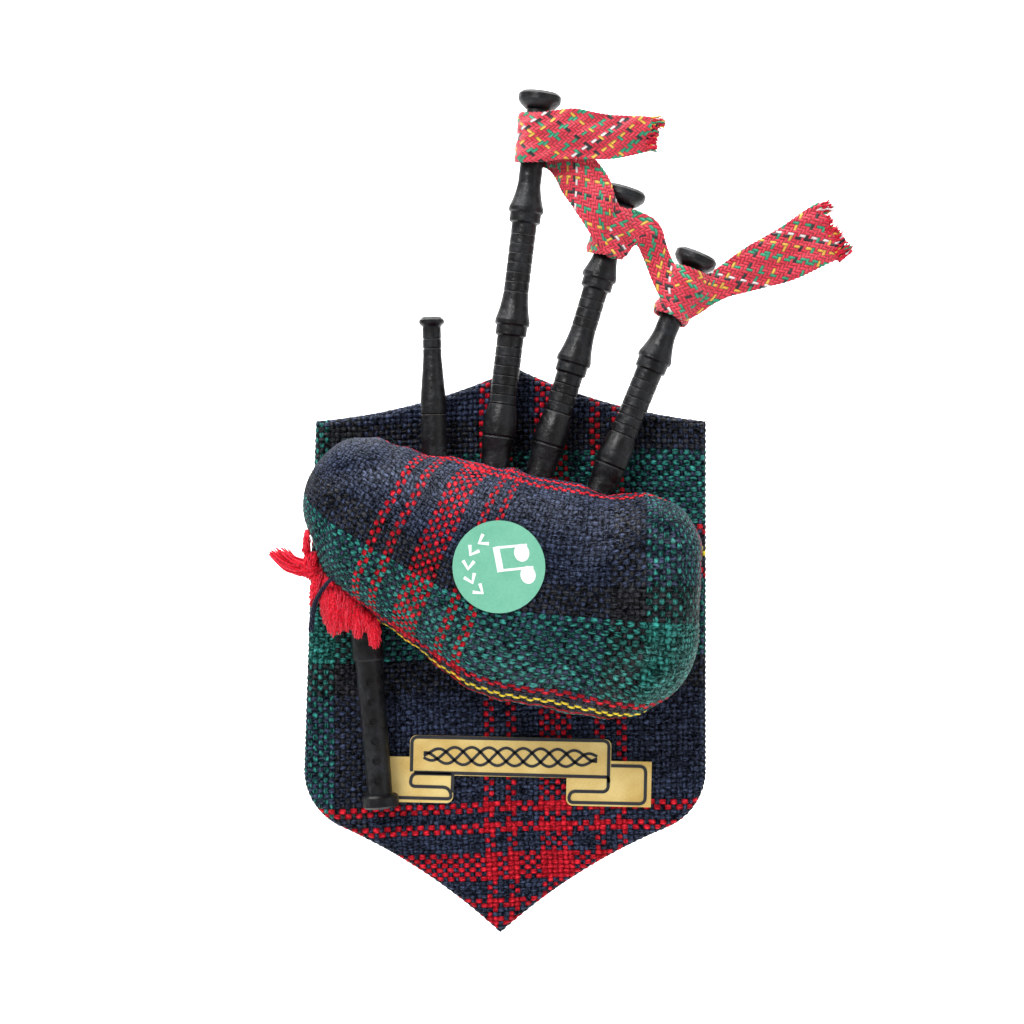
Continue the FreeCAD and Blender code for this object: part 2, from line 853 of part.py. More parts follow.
def press_button():
    """A mushroom button: a cap under the cloth, and a stem that reaches down to the contact dome."""
    edge = s.button_cap / 3
    return module_body("press_button", [
        (ZERO, stem_end),
        (s.stem_radius, stem_end),
        (s.stem_radius, cap_back),
        (s.button_radius, cap_back),
        (s.button_radius, cap_front - edge),
        (s.button_radius - edge, cap_front),
        (ZERO, cap_front),
    ])


def module_front():
    """The front half of the case: a plate with a guide hole for the stem, and a raised rim that is the spring's well."""
    guide = s.stem_radius + s.running_gap
    return module_body("module_front_case", [
        (guide, well_floor - s.case_wall),
        (card_seat, well_floor - s.case_wall),
        (card_seat, split),
        (s.case_radius, split),
        (s.case_radius, well_floor),
        (rim_radius, well_floor),
        (rim_radius, case_front),
        (s.well_radius, case_front),
        (s.well_radius, well_floor),
        (guide, well_floor),
    ])


def module_back():
    """The back half of the case: a ledge for the circuit card and a ring of holes that let the sound out."""
    bore = s.card_radius + s.running_gap
    body = module_body("module_back_case", [
        (ZERO, case_back),
        (s.case_radius, case_back),
        (s.case_radius, split),
        (bore, split),
        (bore, card_back),
        (card_seat, card_back),
        (card_seat, disc_back),
        (ZERO, disc_back),
    ])
    doc.recompute()
    solid = body.Shape.Volume
    sketch = new_sketch(body)
    draw_circle(sketch, s.voice_ring, ZERO, s.voice_hole)
    hole = body.newObject("PartDesign::Pocket", "voice_hole")
    hole.Profile = sketch
    hole.Reversed = True
    bind(hole, Length=disc_back)
    doc.recompute()
    ring = body.newObject("PartDesign::PolarPattern", "voice_holes")
    ring.Originals = [hole]
    ring.Axis = (sketch, ["N_Axis"])
    ring.Angle = 360
    ring.Occurrences = VOICE_HOLES
    body.Tip = ring
    doc.recompute()
    assert body.Shape.Volume < solid, "the sound holes cut nothing"
    return body


def circuit_card():
    return cylinder_to_front("circuit_card", s.card_radius, card_back, card_front)


def contact_dome():
    """The sprung metal dome that the stem presses to close the circuit."""
    body = module_body("contact_dome", [
        (ZERO, card_front),
        (s.dome_radius, card_front),
        (s.dome_radius, card_front + s.strip_thickness),
        (s.dome_radius / 2, dome_front),
        (ZERO, dome_front),
    ])
    return body


def sound_chip():
    """The drop of epoxy over the sound chip."""
    drop = tool("Cone", "sound_chip", Radius1=s.chip_radius, Radius2=s.chip_radius / 2, Height=s.chip_height)
    faces_front(drop)
    bind(drop, **{
        "Placement.Base.x": s.button_x + s.chip_offset,
        "Placement.Base.y": -card_front,
        "Placement.Base.z": s.button_z,
    })
    return drop


def sounder_disc():
    return cylinder_to_front("sounder_disc", s.disc_radius, disc_back, disc_back + s.disc_thickness)


def round_the_axis(index, count, radius, start):
    """(x, z) of one of count places on a ring round the button's axis."""
    angle = start + 360.0 * index / count
    return s.button_x + cosine(angle) * radius, s.button_z + sine(angle) * radius


def button_cells():
    """Three button cells, side by side."""
    cells = []
    for i in range(CELLS):
        x, z = round_the_axis(i, CELLS, cell_ring, 90)
        cells.append(cylinder_to_front(f"cell_{i}", s.cell_radius, cell_back, strip_front, x, z))
    group = doc.addObject("Part::Compound", "button_cells")
    group.Links = cells
    return group


def cell_strip(label, back):
    """A sprung steel strip with one pad for each cell."""
    front = back + s.strip_thickness
    pads = [cylinder_to_front(label + "_hub", s.stem_radius, back, front)]
    for i in range(CELLS):
        x, z = round_the_axis(i, CELLS, cell_ring, 90)
        pads.append(cylinder_to_front(f"{label}_pad_{i}", s.cell_radius * 0.6, back, front, x, z))
    return join(label, pads)


def sounder_leads():
    """Two short leads from the circuit card to the sounder disc."""
    leads = []
    for i, angle in enumerate((30, 150)):
        x, z = s.button_x + cosine(angle) * s.lead_offset, s.button_z + sine(angle) * s.lead_offset
        leads.append(cylinder_to_front(
            f"lead_{i}", s.lead_radius, disc_back + s.disc_thickness, card_back, x, z
        ))
    group = doc.addObject("Part::Compound", "sounder_leads")
    group.Links = leads
    return group


def return_spring():
    """The coil spring in the well, between the well's floor and the cap."""
    wire = s.spring_wire.value / 2
    low, high = (case_front - s.spring_well).value + wire, cap_back.value - wire
    pitch = (high - low) / s.spring_turns.value
    helix = Part.makeHelix(pitch, high - low, s.spring_radius.value)
    start = V(s.spring_radius.value, 0, 0)
    section = Part.Wire([Part.Circle(start, V(0, 1, 0), wire * 0.95).toShape()])
    coil = Part.Wire(helix).makePipeShell([section], True, True)
    spring = doc.addObject("Part::Feature", "return_spring")
    spring.Shape = coil
    spring.Placement = FreeCAD.Placement(
        V(s.button_x.value, -low, s.button_z.value), FreeCAD.Rotation(V(1, 0, 0), 90)
    )
    return spring


# ---- the braid that ties the drones ----

# The braid's route. A free station is (x, depth, z, turn, face, share): turn is the way that its width points, in
# degrees from +X towards +Z, face is how far its face is turned to the right of the front, and share is its width.
BASS_TAIL = [
    (22.0, 11.2, 77.9, 95, 8, 0.66),
    (18.6, 11.9, 77.6, 93, 0, 0.80),
    (14.6, 12.6, 77.5, 92, -5, 0.92),
    (10.6, 12.7, 77.7, 89, -8, 1.0),
]
TO_MIDDLE = [
    (9.2, 9.6, 75.0, 66, 14, 0.95),
    (11.0, 10.6, 72.0, 48, 12, 0.95),
    (12.9, 12.1, 68.8, 42, 4, 0.95),
    (14.7, 13.1, 65.4, 60, -8, 0.9),
]
TO_OUTER = [
    (21.4, 11.2, 63.4, 38, 30, 0.62),
    (22.7, 10.3, 60.2, 24, 36, 0.5),
    (24.0, 10.6, 57.0, 24, 28, 0.55),
    (25.5, 12.0, 54.6, 48, 4, 0.8),
]
OUTER_TAIL = [
    (31.8, 10.7, 55.5, 112, 10, 0.56),
    (35.4, 10.9, 56.8, 114, 4, 0.78),
    (39.8, 11.2, 58.9, 116, -4, 0.98),
    (44.5, 11.5, 61.3, 116, 4, 1.12),
    (49.0, 11.2, 63.4, 114, 10, 1.2),
]
# A station round a drone's neck is (angle, radius, down): angle 0 is the drone's front and 90 its right side, the
# radius is the braid's middle, and down is measured from the drone's top.
ROUND_BASS = [
    (24, 3.3, 7.0), (-4, 3.05, 7.05), (-32, 2.8, 7.1), (-62, 2.6, 7.0), (-92, 2.45, 6.9), (-122, 2.35, 6.9),
    (-152, 2.3, 7.0), (-182, 2.3, 7.1), (-212, 2.3, 7.2), (-242, 2.3, 7.3), (-270, 2.35, 7.5),
]
ROUND_MIDDLE = [
    (2, 2.7, 7.1), (32, 2.6, 7.0), (62, 2.5, 6.8), (92, 2.5, 6.8), (122, 2.5, 6.7), (152, 2.5, 6.7),
    (182, 2.5, 6.7), (212, 2.55, 6.7), (242, 2.65, 6.8), (272, 2.8, 6.9), (302, 3.0, 7.0), (330, 3.25, 7.1),
    (358, 3.45, 7.1), (386, 3.45, 7.0), (412, 3.35, 6.9),
]
ROUND_OUTER = [
    (2, 2.5, 6.8), (32, 2.35, 7.0), (62, 2.3, 7.2), (92, 2.3, 7.2), (122, 2.3, 7.2), (152, 2.3, 7.1),
    (182, 2.3, 7.0), (212, 2.35, 7.0), (242, 2.5, 7.0), (272, 2.7, 7.0), (302, 2.95, 6.9), (330, 3.2, 6.8),
    (358, 3.4, 6.7), (386, 3.4, 6.5), (412, 3.3, 6.3),
]


def free_stations(listed):
    """(middle, way its width points, way it faces, share of its width) for each free station."""
    stations = []
    for x, depth, z, turn, face, share in listed:
        turn, face = math.radians(turn), math.radians(face)
        across = V(math.cos(turn), 0, math.sin(turn))
        side = V(math.sin(turn), 0, -math.cos(turn))
        out = V(0, -math.cos(face), 0) + side * math.sin(face)
        stations.append((V(x, -depth, z), across, out, share))
    return stations


def neck_stations(x, z, lean, listed):
    """The same for each station round a drone's neck."""
    lean = math.radians(lean.value)
    up = V(math.sin(lean), 0, math.cos(lean))
    right = V(up.z, 0, -up.x)
    top = V(x.value, -s.pipe_depth.value, z.value)
    stations = []
    for angle, radius, down in listed:
        angle = math.radians(angle)
        out = V(0, -math.cos(angle), 0) + right * math.sin(angle)
        stations.append((top - up * down + out * radius, up, out, 1.0))
    return stations


def braid_stations():
    """The whole braid: a tail, a turn round each drone's neck joined by two spans, and a tail."""
    return (
        free_stations(BASS_TAIL)
        + neck_stations(s.bass_x, s.bass_z, s.bass_lean, ROUND_BASS)
        + free_stations(TO_MIDDLE)
        + neck_stations(s.middle_x, s.middle_z, s.middle_lean, ROUND_MIDDLE)
        + free_stations(TO_OUTER)
        + neck_stations(s.outer_x, s.outer_z, s.outer_lean, ROUND_OUTER)
        + free_stations(OUTER_TAIL)
    )


def drone_braid():
    """The braid as a plain band with flat facets between its stations. Its length is printed."""
    half_width, half_thick = s.braid_width.value / 2, s.braid_thickness.value / 2
    stations = braid_stations()
    rings = []
    for centre, across, out, share in stations:
        reach, lift = across * (half_width * share), out * half_thick
        rings.append([
            centre - reach - lift,
            centre + reach - lift,
            centre + reach + lift,
            centre - reach + lift,
        ])
    first, last = rings[0], rings[-1]
    faces = [
        triangle(first[0], first[1], first[2]),
        triangle(first[0], first[2], first[3]),
        triangle(last[0], last[2], last[1]),
        triangle(last[0], last[3], last[2]),
    ]
    for here, there in zip(rings, rings[1:]):
        for k in range(4):
            after = (k + 1) % 4
            faces.append(triangle(here[k], there[after], here[after]))
            faces.append(triangle(here[k], there[k], there[after]))
    braid = doc.addObject("Part::Feature", "drone_braid")
    braid.Shape = Part.Solid(Part.Shell(faces))
    runs = [(b[0] - a[0]).Length for a, b in zip(stations, stations[1:])]
    print(f"braid: {len(stations)} stations, {sum(runs):.1f} mm along its runs, each {min(runs):.1f} to {max(runs):.1f}")
    return braid


def triangle(a, b, c):
    return Part.Face(Part.makePolygon([a, b, c, a]))


# ---- the whole object ----


def build():
    board = shield_plate("shield_board", -s.cloth_thickness, board_back, s.board_thickness)
    pieces = [
        magnet_sheet(),
        shield_plate("back_liner", -s.liner_margin, liner_back, s.liner_thickness),
        board,
        shield_cloth(board),
        scroll_label(),
        drone("bass_drone", s.bass_x, s.bass_z, s.bass_lean, s.bass_length,
              [s.bass_upper_bead, s.bass_lower_bead], s.bass_foot),
        drone("middle_drone", s.middle_x, s.middle_z, s.middle_lean, s.middle_length,
              [s.middle_upper_bead, s.middle_lower_bead], s.middle_foot, rings=MIDDLE_RINGS),
        drone("outer_drone", s.outer_x, s.outer_z, s.outer_lean, s.outer_length,
              [s.outer_lower_bead], s.outer_foot),
        blowpipe(),
        chanter(),
        fringe(),
        press_label(),
        press_button(),
        return_spring(),
        module_front(),
        module_back(),
        circuit_card(),
        contact_dome(),
        sound_chip(),
        sounder_disc(),
        sounder_leads(),
        button_cells(),
        cell_strip("cell_strip_front", strip_front),
        cell_strip("cell_strip_back", cell_back - s.strip_thickness),
        drone_braid(),
    ]
    pieces += bag_parts()
    doc.recompute()
    return pieces


def check(pieces):
    """Stops the build if any object failed, or any piece isn't valid."""
    for thing in doc.Objects:
        if {"Invalid", "Error"} & set(thing.State):
            raise RuntimeError(f"{thing.Label} failed: {thing.State}")
    for piece in pieces:
        shape = piece.Shape
        if shape.isNull() or not shape.isValid() or not shape.Solids:
            raise RuntimeError(f"{piece.Label} has no valid solid")


def write(pieces):
    os.makedirs("parts", exist_ok=True)
    for piece in pieces:
        piece.Shape.exportStep(os.path.join("parts", piece.Label + ".step"))
        box = piece.Shape.BoundBox
        print(f"{piece.Label:18s} {len(piece.Shape.Solids)} solid(s) {piece.Shape.Volume:9.2f} mm3"
              f"  x {box.XMin:7.2f} {box.XMax:7.2f}  y {box.YMin:7.2f} {box.YMax:7.2f}"
              f"  z {box.ZMin:7.2f} {box.ZMax:7.2f}")


made = build()
check(made)
write(made)
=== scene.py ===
import math

import bpy
import numpy as np
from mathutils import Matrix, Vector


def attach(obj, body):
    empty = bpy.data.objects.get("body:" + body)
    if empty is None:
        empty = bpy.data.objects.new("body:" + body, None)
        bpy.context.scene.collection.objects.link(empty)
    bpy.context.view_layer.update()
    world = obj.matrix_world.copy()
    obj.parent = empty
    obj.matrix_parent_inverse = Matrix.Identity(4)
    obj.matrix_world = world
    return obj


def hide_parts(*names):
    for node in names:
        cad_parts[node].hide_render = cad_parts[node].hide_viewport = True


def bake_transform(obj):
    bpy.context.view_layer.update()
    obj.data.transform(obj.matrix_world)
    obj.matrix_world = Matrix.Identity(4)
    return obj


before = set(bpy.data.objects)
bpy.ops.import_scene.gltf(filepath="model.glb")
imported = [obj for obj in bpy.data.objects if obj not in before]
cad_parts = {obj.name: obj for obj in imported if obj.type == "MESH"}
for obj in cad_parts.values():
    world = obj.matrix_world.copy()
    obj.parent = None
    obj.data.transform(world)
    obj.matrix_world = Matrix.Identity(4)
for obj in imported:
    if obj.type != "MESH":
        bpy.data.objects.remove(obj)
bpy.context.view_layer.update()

# Lengths here are millimetres, and each mesh is turned to metres as it is made. +Z is up, the front faces -Y, and a
# depth is a distance in front of the magnet's back face, so y is minus the depth.

MM = 0.001
RNG = np.random.default_rng(11)


# ---- meshes ----


def grid_faces(rows, cols, round_cols=False):
    """The quads of a grid of rows by cols points. round_cols joins the last column to the first."""
    i, j = np.meshgrid(np.arange(rows - 1), np.arange(cols if round_cols else cols - 1), indexing="ij")
    after = (j + 1) % cols
    return np.stack([i * cols + j, i * cols + after, (i + 1) * cols + after, (i + 1) * cols + j], -1).reshape(-1, 4)


def piece(name, points, faces, material, body="plaque", uv=None, smooth=True):
    """A mesh from points in millimetres and faces of one size. uv gives two numbers for each point."""
    points, faces = np.asarray(points, float).reshape(-1, 3), np.asarray(faces)
    mesh = bpy.data.meshes.new(name)
    mesh.vertices.add(len(points))
    mesh.vertices.foreach_set("co", (points * MM).ravel())
    mesh.loops.add(faces.size)
    mesh.loops.foreach_set("vertex_index", faces.ravel())
    mesh.polygons.add(len(faces))
    mesh.polygons.foreach_set("loop_start", np.arange(0, faces.size, faces.shape[1]))
    mesh.polygons.foreach_set("use_smooth", np.full(len(faces), smooth))
    if uv is not None:
        layer = mesh.uv_layers.new(name="cloth")
        layer.uv.foreach_set("vector", np.asarray(uv, float).reshape(-1, 2)[faces.ravel()].ravel())
    mesh.update(calc_edges=True)
    mesh.validate()
    mesh.materials.append(material)
    made = bpy.data.objects.new(name, mesh)
    bpy.context.collection.objects.link(made)
    if body:
        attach(made, body)
    return made


def drop_unused(points, faces, uv):
    """The same mesh without the points that no face uses."""
    used, faces = np.unique(faces, return_inverse=True)
    return points[used], faces.reshape(-1, 4), uv[used]


def unit(a):
    return a / np.maximum(np.linalg.norm(a, axis=-1, keepdims=True), 1e-9)


def facing_out(points):
    """Unit normals of a grid of points, from the cross product of its two directions."""
    return unit(np.cross(np.gradient(points, axis=1), np.gradient(points, axis=0)))


def strands(middles, radii, sides=4):
    """Closed tubes round many short lines. middles is (strands, steps, 3), radii (strands, steps). Each ring is
    middle + radius (cos a, sin a) across the strand, and quads close each end. sides is even."""
    count, steps = middles.shape[:2]
    along = unit(np.gradient(middles, axis=1))
    first = unit(np.cross(along, np.array([0.31, 0.93, 0.2])))
    second = np.cross(along, first)
    angle = np.arange(sides) * 2 * math.pi / sides
    ring = (
        middles[:, :, None]
        + radii[:, :, None, None] * first[:, :, None] * np.cos(angle)[:, None]
        + radii[:, :, None, None] * second[:, :, None] * np.sin(angle)[:, None]
    )
    tube = grid_faces(steps, sides, round_cols=True)
    lid = np.array([[0, k, k + 1, k + 2] for k in range(1, sides - 2, 2)])
    one = np.vstack([tube, lid[:, ::-1], (steps - 1) * sides + lid])
    faces = one[None] + (np.arange(count) * steps * sides)[:, None, None]
    return ring.reshape(-1, 3), faces.reshape(-1, 4)


def loose_ends(name, lines, radii, picks, material, along=1.0):
    """Many short yarns as one piece. picks chooses each yarn's dye, and along is how far the map's v runs."""
    points, faces = strands(lines, radii)
    uv = np.empty((*lines.shape[:2], 4, 2))
    uv[..., 0] = picks[:, None, None]
    uv[..., 1] = along * np.linspace(0, 1, lines.shape[1])[:, None]
    return piece(name, points, faces, material, uv=uv)


# ---- materials ----


def linear(colour):
    """An sRGB hex colour as linear RGBA."""
    parts = [int(colour[i:i + 2], 16) / 255 for i in (1, 3, 5)]
    return [p / 12.92 if p <= 0.04045 else ((p + 0.055) / 1.055) ** 2.4 for p in parts] + [1.0]


class Level:
    """A number or a colour at each point of a finish. Arithmetic on it adds nodes to that finish."""

    def __init__(self, finish, socket):
        self.finish, self.socket = finish, socket

    def apply(self, operation, *others, **settings):
        return self.finish.node("Math", self, *others, operation=operation, **settings)

    def __add__(self, other):
        return self.apply("ADD", other)

    def __sub__(self, other):
        return self.apply("SUBTRACT", other)

    def __rsub__(self, other):
        return self.finish.node("Math", other, self, operation="SUBTRACT")

    def __mul__(self, other):
        return self.apply("MULTIPLY", other)

    def __truediv__(self, other):
        return self.apply("DIVIDE", other)

    def __mod__(self, other):
        return self.apply("FLOORED_MODULO", other)

    def __pow__(self, other):
        return self.apply("POWER", other)

    def __gt__(self, other):
        return self.apply("GREATER_THAN", other)

    def __lt__(self, other):
        return self.apply("LESS_THAN", other)

    def spread(self, low, high):
        """From 0..1 to low..high."""
        return self.apply("MULTIPLY_ADD", high - low, low)

    def between(self, low, high):
        """From low..high to 0..1, and no further."""
        return self.finish.node("MapRange", self, sockets={"From Min": low, "From Max": high})

    def scaled(self, share):
        """A colour made darker or lighter."""
        return self.finish.node("VectorMath", self, sockets={3: share}, operation="SCALE")

    def split(self):
        """The three parts of a vector or a colour."""
        parts = self.finish.node("SeparateXYZ", self).socket.node
        return [Level(self.finish, part) for part in parts.outputs]


class Finish:
    """A material in the making, with short ways to add nodes to it."""

    def __init__(self, name):
        self.material = bpy.data.materials.new(name)
        self.material.use_nodes = True
        self.tree = self.material.node_tree
        self.shader = self.tree.nodes["Principled BSDF"]

    def feed(self, made, key, value):
        """Links or sets one input of a node."""
        if isinstance(value, Level):
            self.tree.links.new(value.socket, made.inputs[key])
        elif value is not None:
            made.inputs[key].default_value = value

    def node(self, kind, *inputs, output=0, sockets=None, **settings):
        """One output of a new node. Its inputs are given in order, or by name in sockets."""
        made = self.tree.nodes.new("ShaderNode" + kind)
        for key, value in settings.items():
            setattr(made, key, value)
        for key, value in [*enumerate(inputs), *(sockets or {}).items()]:
            self.feed(made, key, value)
        return Level(self, made.outputs[output])

    def cloth_map(self):
        return self.node("UVMap", uv_map="cloth")

    def noise(self, place, scale, detail, rough, output=0):
        return self.node("TexNoise", output=output, sockets={
            "Vector": place, "Scale": scale, "Detail": detail, "Roughness": rough})

    def lumps(self, size_mm, detail=2.0, rough=0.6):
        """Noise in object coordinates whose lumps are about size_mm across."""
        return self.noise(self.node("TexCoord", output="Object"), 1 / (size_mm * MM), detail, rough)

    def mix(self, share, low, high):
        return self.node("Mix", share, None, low, high)

    def blend_dyes(self, share, low, high):
        """A mix of two colours, each a Level or a hex colour."""
        low, high = (linear(dye) if isinstance(dye, str) else dye for dye in (low, high))
        return self.node("Mix", output=2, data_type="RGBA", sockets={0: share, 6: low, 7: high})

    def banded(self, place, stops):
        """Picks one of stops, a list of (share of the repeat, hex), by place, which runs from 0 to 1."""
        made = self.node("ValToRGB", place)
        ramp = made.socket.node.color_ramp
        ramp.interpolation = "CONSTANT"
        while len(ramp.elements) < len(stops):
            ramp.elements.new(0.5)
        for stop, (share, colour) in zip(ramp.elements, stops):
            stop.position = share
            stop.color = linear(colour)
        return made

    def bump(self, height, strength, depth_mm):
        made = self.node("Bump", sockets={"Strength": strength, "Distance": depth_mm * MM, "Height": height})
        self.feed(self.shader, "Normal", made)

    def done(self, colour, **values):
        """The material, with its colour and the shader's other values."""
        self.feed(self.shader, "Base Color", colour)
        for key, value in values.items():
            self.feed(self.shader, key.replace("_", " "), value)
        return self.material


# The tartan's repeat, as (threads, colour), the same in warp and weft.
NAVY, BLACK, GREEN, RED, YELLOW = "#161F34", "#101218", "#125650", "#A91222", "#D6BE3C"
HALF = [(14, GREEN), (2, RED), (2, BLACK), (2, YELLOW), (2, BLACK), (2, RED), (14, GREEN), (6, BLACK), (21, NAVY),
        (2, RED), (2, NAVY), (2, RED), (4, NAVY), (6, RED), (4, NAVY), (2, RED), (2, NAVY), (2, RED), (21, NAVY),
        (6, BLACK)]
REPEAT = sum(count for count, _ in HALF)
RED_BLOCK = 78
GREEN_START = REPEAT


TARTAN_STOPS = [(sum(count for count, _ in HALF[:i]) / REPEAT, colour) for i, (_, colour) in enumerate(HALF)]


WEFT_LIFT, CRIMP, YARN_ROUND = 0.16, 0.42, 0.5


def yarn_height(in_side, run, width, way, lift):
    """A woven yarn's height, in threads: crimp * cos(pi * (run - 0.5)) plus its round back, a half circle over width
    of its thread. in_side is the place across it, from 0 to 1, and run counts threads along it."""
    wave = ((run - 0.5) * math.pi).apply("COSINE")
    place = in_side.apply("MULTIPLY_ADD", 2.0 / width, -1.0 / width)
    back = (1.0 - place * place).apply("MAXIMUM", 0.0).apply("SQRT")
    return back.apply("MULTIPLY_ADD", YARN_ROUND, wave.apply("MULTIPLY_ADD", CRIMP * way, lift))


def tartan_cloth(name):
    """Plain-woven acrylic, dyed in the yarn. Each crossing shows the yarn on top as a rounded float of fine filaments
    that glint, with dark gaps between, and a few brushed fibres. The cloth map counts threads."""
    cloth = Finish(name)
    threads = cloth.cloth_map()
    wander = cloth.noise(threads, 0.45, 1.0, 0.5, output="Color")
    wander = cloth.node("VectorMath", wander, (0.5, 0.5, 0.5), operation="SUBTRACT")
    threads = cloth.node("VectorMath", wander, (0.22, 0.22, 0.0), threads, operation="MULTIPLY_ADD")
    u, v = threads.split()[:2]
    warp, weft = u.apply("FLOOR"), v.apply("FLOOR")
    in_warp, in_weft = u.apply("FRACT"), v.apply("FRACT")
    warp_height = yarn_height(in_warp, v - warp, 0.9, 1.0, 0.0)
    weft_height = yarn_height(in_weft, u - weft, 1.0, -1.0, WEFT_LIFT)
    warp_up = warp_height > weft_height
    height = warp_height.apply("MAXIMUM", weft_height).between(0.12, 0.98)
    across, along = cloth.mix(warp_up, in_weft, in_warp), cloth.mix(warp_up, in_warp, in_weft)
    twist = (along * 15.0 + across * 8.0).apply("SINE")
    fibres = cloth.noise(threads, 3.4, 4.0, 0.8).between(0.34, 0.68)
    each = cloth.node("TexWhiteNoise", sockets={"W": cloth.mix(warp_up, weft, warp + 500.0)}, noise_dimensions="1D")
    filaments = cloth.node("CombineXYZ", u * warp_up.spread(1.0, 2.5), v * warp_up.spread(2.5, 1.0), each * 40.0)
    glints = cloth.noise(filaments, 1.0, 2.0, 0.6).between(0.36, 0.68)
    warp_dye, weft_dye = (cloth.banded((index + 0.5) % REPEAT / REPEAT, TARTAN_STOPS) for index in (warp, weft))
    top = cloth.blend_dyes(warp_up, weft_dye, warp_dye)
    calm = top.split()[0].apply("MULTIPLY", 1.7, use_clamp=True)
    uneven = cloth.mix(calm, (glints ** 1.7).spread(0.14, 3.1), glints.spread(0.78, 1.2))
    shade = (height ** 1.25).spread(0.04, 1.2) * each.spread(0.8, 1.2) * uneven * fibres.spread(0.75, 1.3)
    cloth.bump(height + twist * 0.07 + glints * 0.4, 0.9, 0.2)
    gloss = glints * height * (1.15 - calm)
    return cloth.done(cloth.blend_dyes((fibres > 0.86) * 0.14, top.scaled(shade), "#8490A8"),
                      Specular_IOR_Level=gloss.spread(0.01, 0.4), Roughness=0.58, Sheen_Weight=0.0)


def moulded_polystyrene():
    """Black polystyrene as moulded and then handled: a fine matt skin, greyed where the tumbling has rubbed it."""
    skin = Finish("moulded_polystyrene")
    patches = skin.lumps(2.6, 3.0, 0.65)
    scuffs = skin.lumps(0.35, 3.0, 0.7)
    waves = skin.lumps(1.3, 2.0, 0.5)
    worn = ((patches - 0.44) * (scuffs - 0.34) * 14.0).apply("MAXIMUM", 0.0, use_clamp=True)
    skin.bump(waves * 2.4 + scuffs * 0.5, 0.6, 0.12)
    return skin.done(skin.blend_dyes(worn, "#07080A", "#23262B"), Roughness=patches.spread(0.16, 0.62),
                     Specular_IOR_Level=0.3)


def gold_foil():
    """Satin gold foil blocked on card: a fine grain breaks up its reflection."""
    foil = Finish("gold_foil_on_card")
    grain = foil.lumps(0.16, 2.0, 0.6)
    tone = foil.lumps(6.0, 2.0, 0.5)
    foil.bump(grain, 0.3, 0.03)
    return foil.done(foil.blend_dyes((tone + grain * 0.6).spread(-0.6, 1.0), "#C79A3E", "#F3DA92"),
                     Roughness=grain.spread(0.34, 0.55), Metallic=0.55)


def plain_finish(name, colour, other, size_mm, roughness, bump_mm=0.02, **values):
    """A finish with a slow change between two close colours and a fine grain, size_mm across."""
    plain = Finish(name)
    cloud = plain.lumps(size_mm * 8, 2.0, 0.5)
    grain = plain.lumps(size_mm, 3.0, 0.65)
    plain.bump(grain, 0.5, bump_mm)
    return plain.done(plain.blend_dyes(grain * 0.5 + cloud * 0.5, colour, other), Roughness=roughness, **values)


B_RED, B_GREEN, B_BLACK, B_YELLOW, B_WHITE = "#D01D3A", "#0F8F68", "#15151A", "#DCA838", "#DCCFCF"
BRAID_YARNS = [B_RED, B_GREEN, B_GREEN, B_RED, B_RED, B_RED, B_YELLOW, B_RED, B_RED, B_BLACK, B_WHITE, B_RED, B_RED,
               B_RED, B_GREEN, B_RED, B_RED, B_RED, B_RED]
BRAID_OTHERS = [B_RED, B_RED, B_RED, B_BLACK, B_RED, B_RED, B_RED, B_GREEN, B_RED, B_RED, B_RED, B_YELLOW, B_RED]


def even_stops(dyes):
    return [(i / len(dyes), dye) for i, dye in enumerate(dyes)]


def braided_viscose():
    """Shiny viscose yarns braided over two and under two. The cloth map counts the yarns that slope each way: a yarn
    of one slope has a whole number in u, and one of the other slope in v."""
    band = Finish("braided_viscose")
    cloth = band.cloth_map()
    u, v = cloth.split()[:2]
    one, other, in_one, in_other = u.apply("FLOOR"), v.apply("FLOOR"), u.apply("FRACT"), v.apply("FRACT")
    step = (one - other) % 4.0
    one_up = step < 1.5
    across = band.mix(one_up, in_other, in_one).apply("MULTIPLY_ADD", 2.0, -1.0)
    along = band.mix(one_up, in_one + (step - 3.0), in_other - step)
    height = (1.0 - across * across) * (1.0 - along * along * 0.5)
    dyes = [band.banded((index + 0.5) % len(yarns) / len(yarns), even_stops(yarns))
            for index, yarns in ((other, BRAID_OTHERS), (one, BRAID_YARNS))]
    fibres = band.noise(cloth, 4.0, 3.0, 0.7)
    shade = (height ** 0.7).spread(0.22, 1.15) * fibres.spread(0.7, 1.35)
    lines = (across * 9.0).apply("SINE")
    band.bump(height + fibres * 0.3 + lines * 0.05, 0.8, 0.16)
    return band.done(band.blend_dyes(one_up, *dyes).scaled(shade), Roughness=0.5, Sheen_Weight=0.3,
                     Specular_IOR_Level=0.45)


def loose_yarn(name, colours, roughness):
    """Loose yarn ends: u picks the yarn's dye, and a twist shows along v as fine slanting lines."""
    yarn = Finish(name)
    pick, along = yarn.cloth_map().split()[:2]
    twist = (along * 60.0 + pick * 400.0).apply("SINE")
    fluff = yarn.lumps(0.3, 3.0, 0.7)
    yarn.bump(fluff, 0.6, 0.06)
    dye = yarn.banded(pick, even_stops(colours))
    return yarn.done(dye.scaled(twist.spread(0.86, 1.0) * fluff.spread(0.55, 1.4)), Roughness=roughness,
                     Sheen_Weight=0.1, Sheen_Roughness=0.4, Specular_IOR_Level=0.15)


# ---- camera, light and ground ----


def shown_from():
    eye = bpy.data.cameras.new("camera")
    eye.lens, eye.sensor_width = 85, 36
    eye.clip_start, eye.clip_end = 0.01, 20
    holder = bpy.data.objects.new("camera", eye)
    holder.location = (1.07 * MM, -373.6 * MM, 21.3 * MM)
    holder.rotation_euler = (math.radians(90), 0, 0)
    bpy.context.collection.objects.link(holder)
    bpy.context.scene.camera = holder


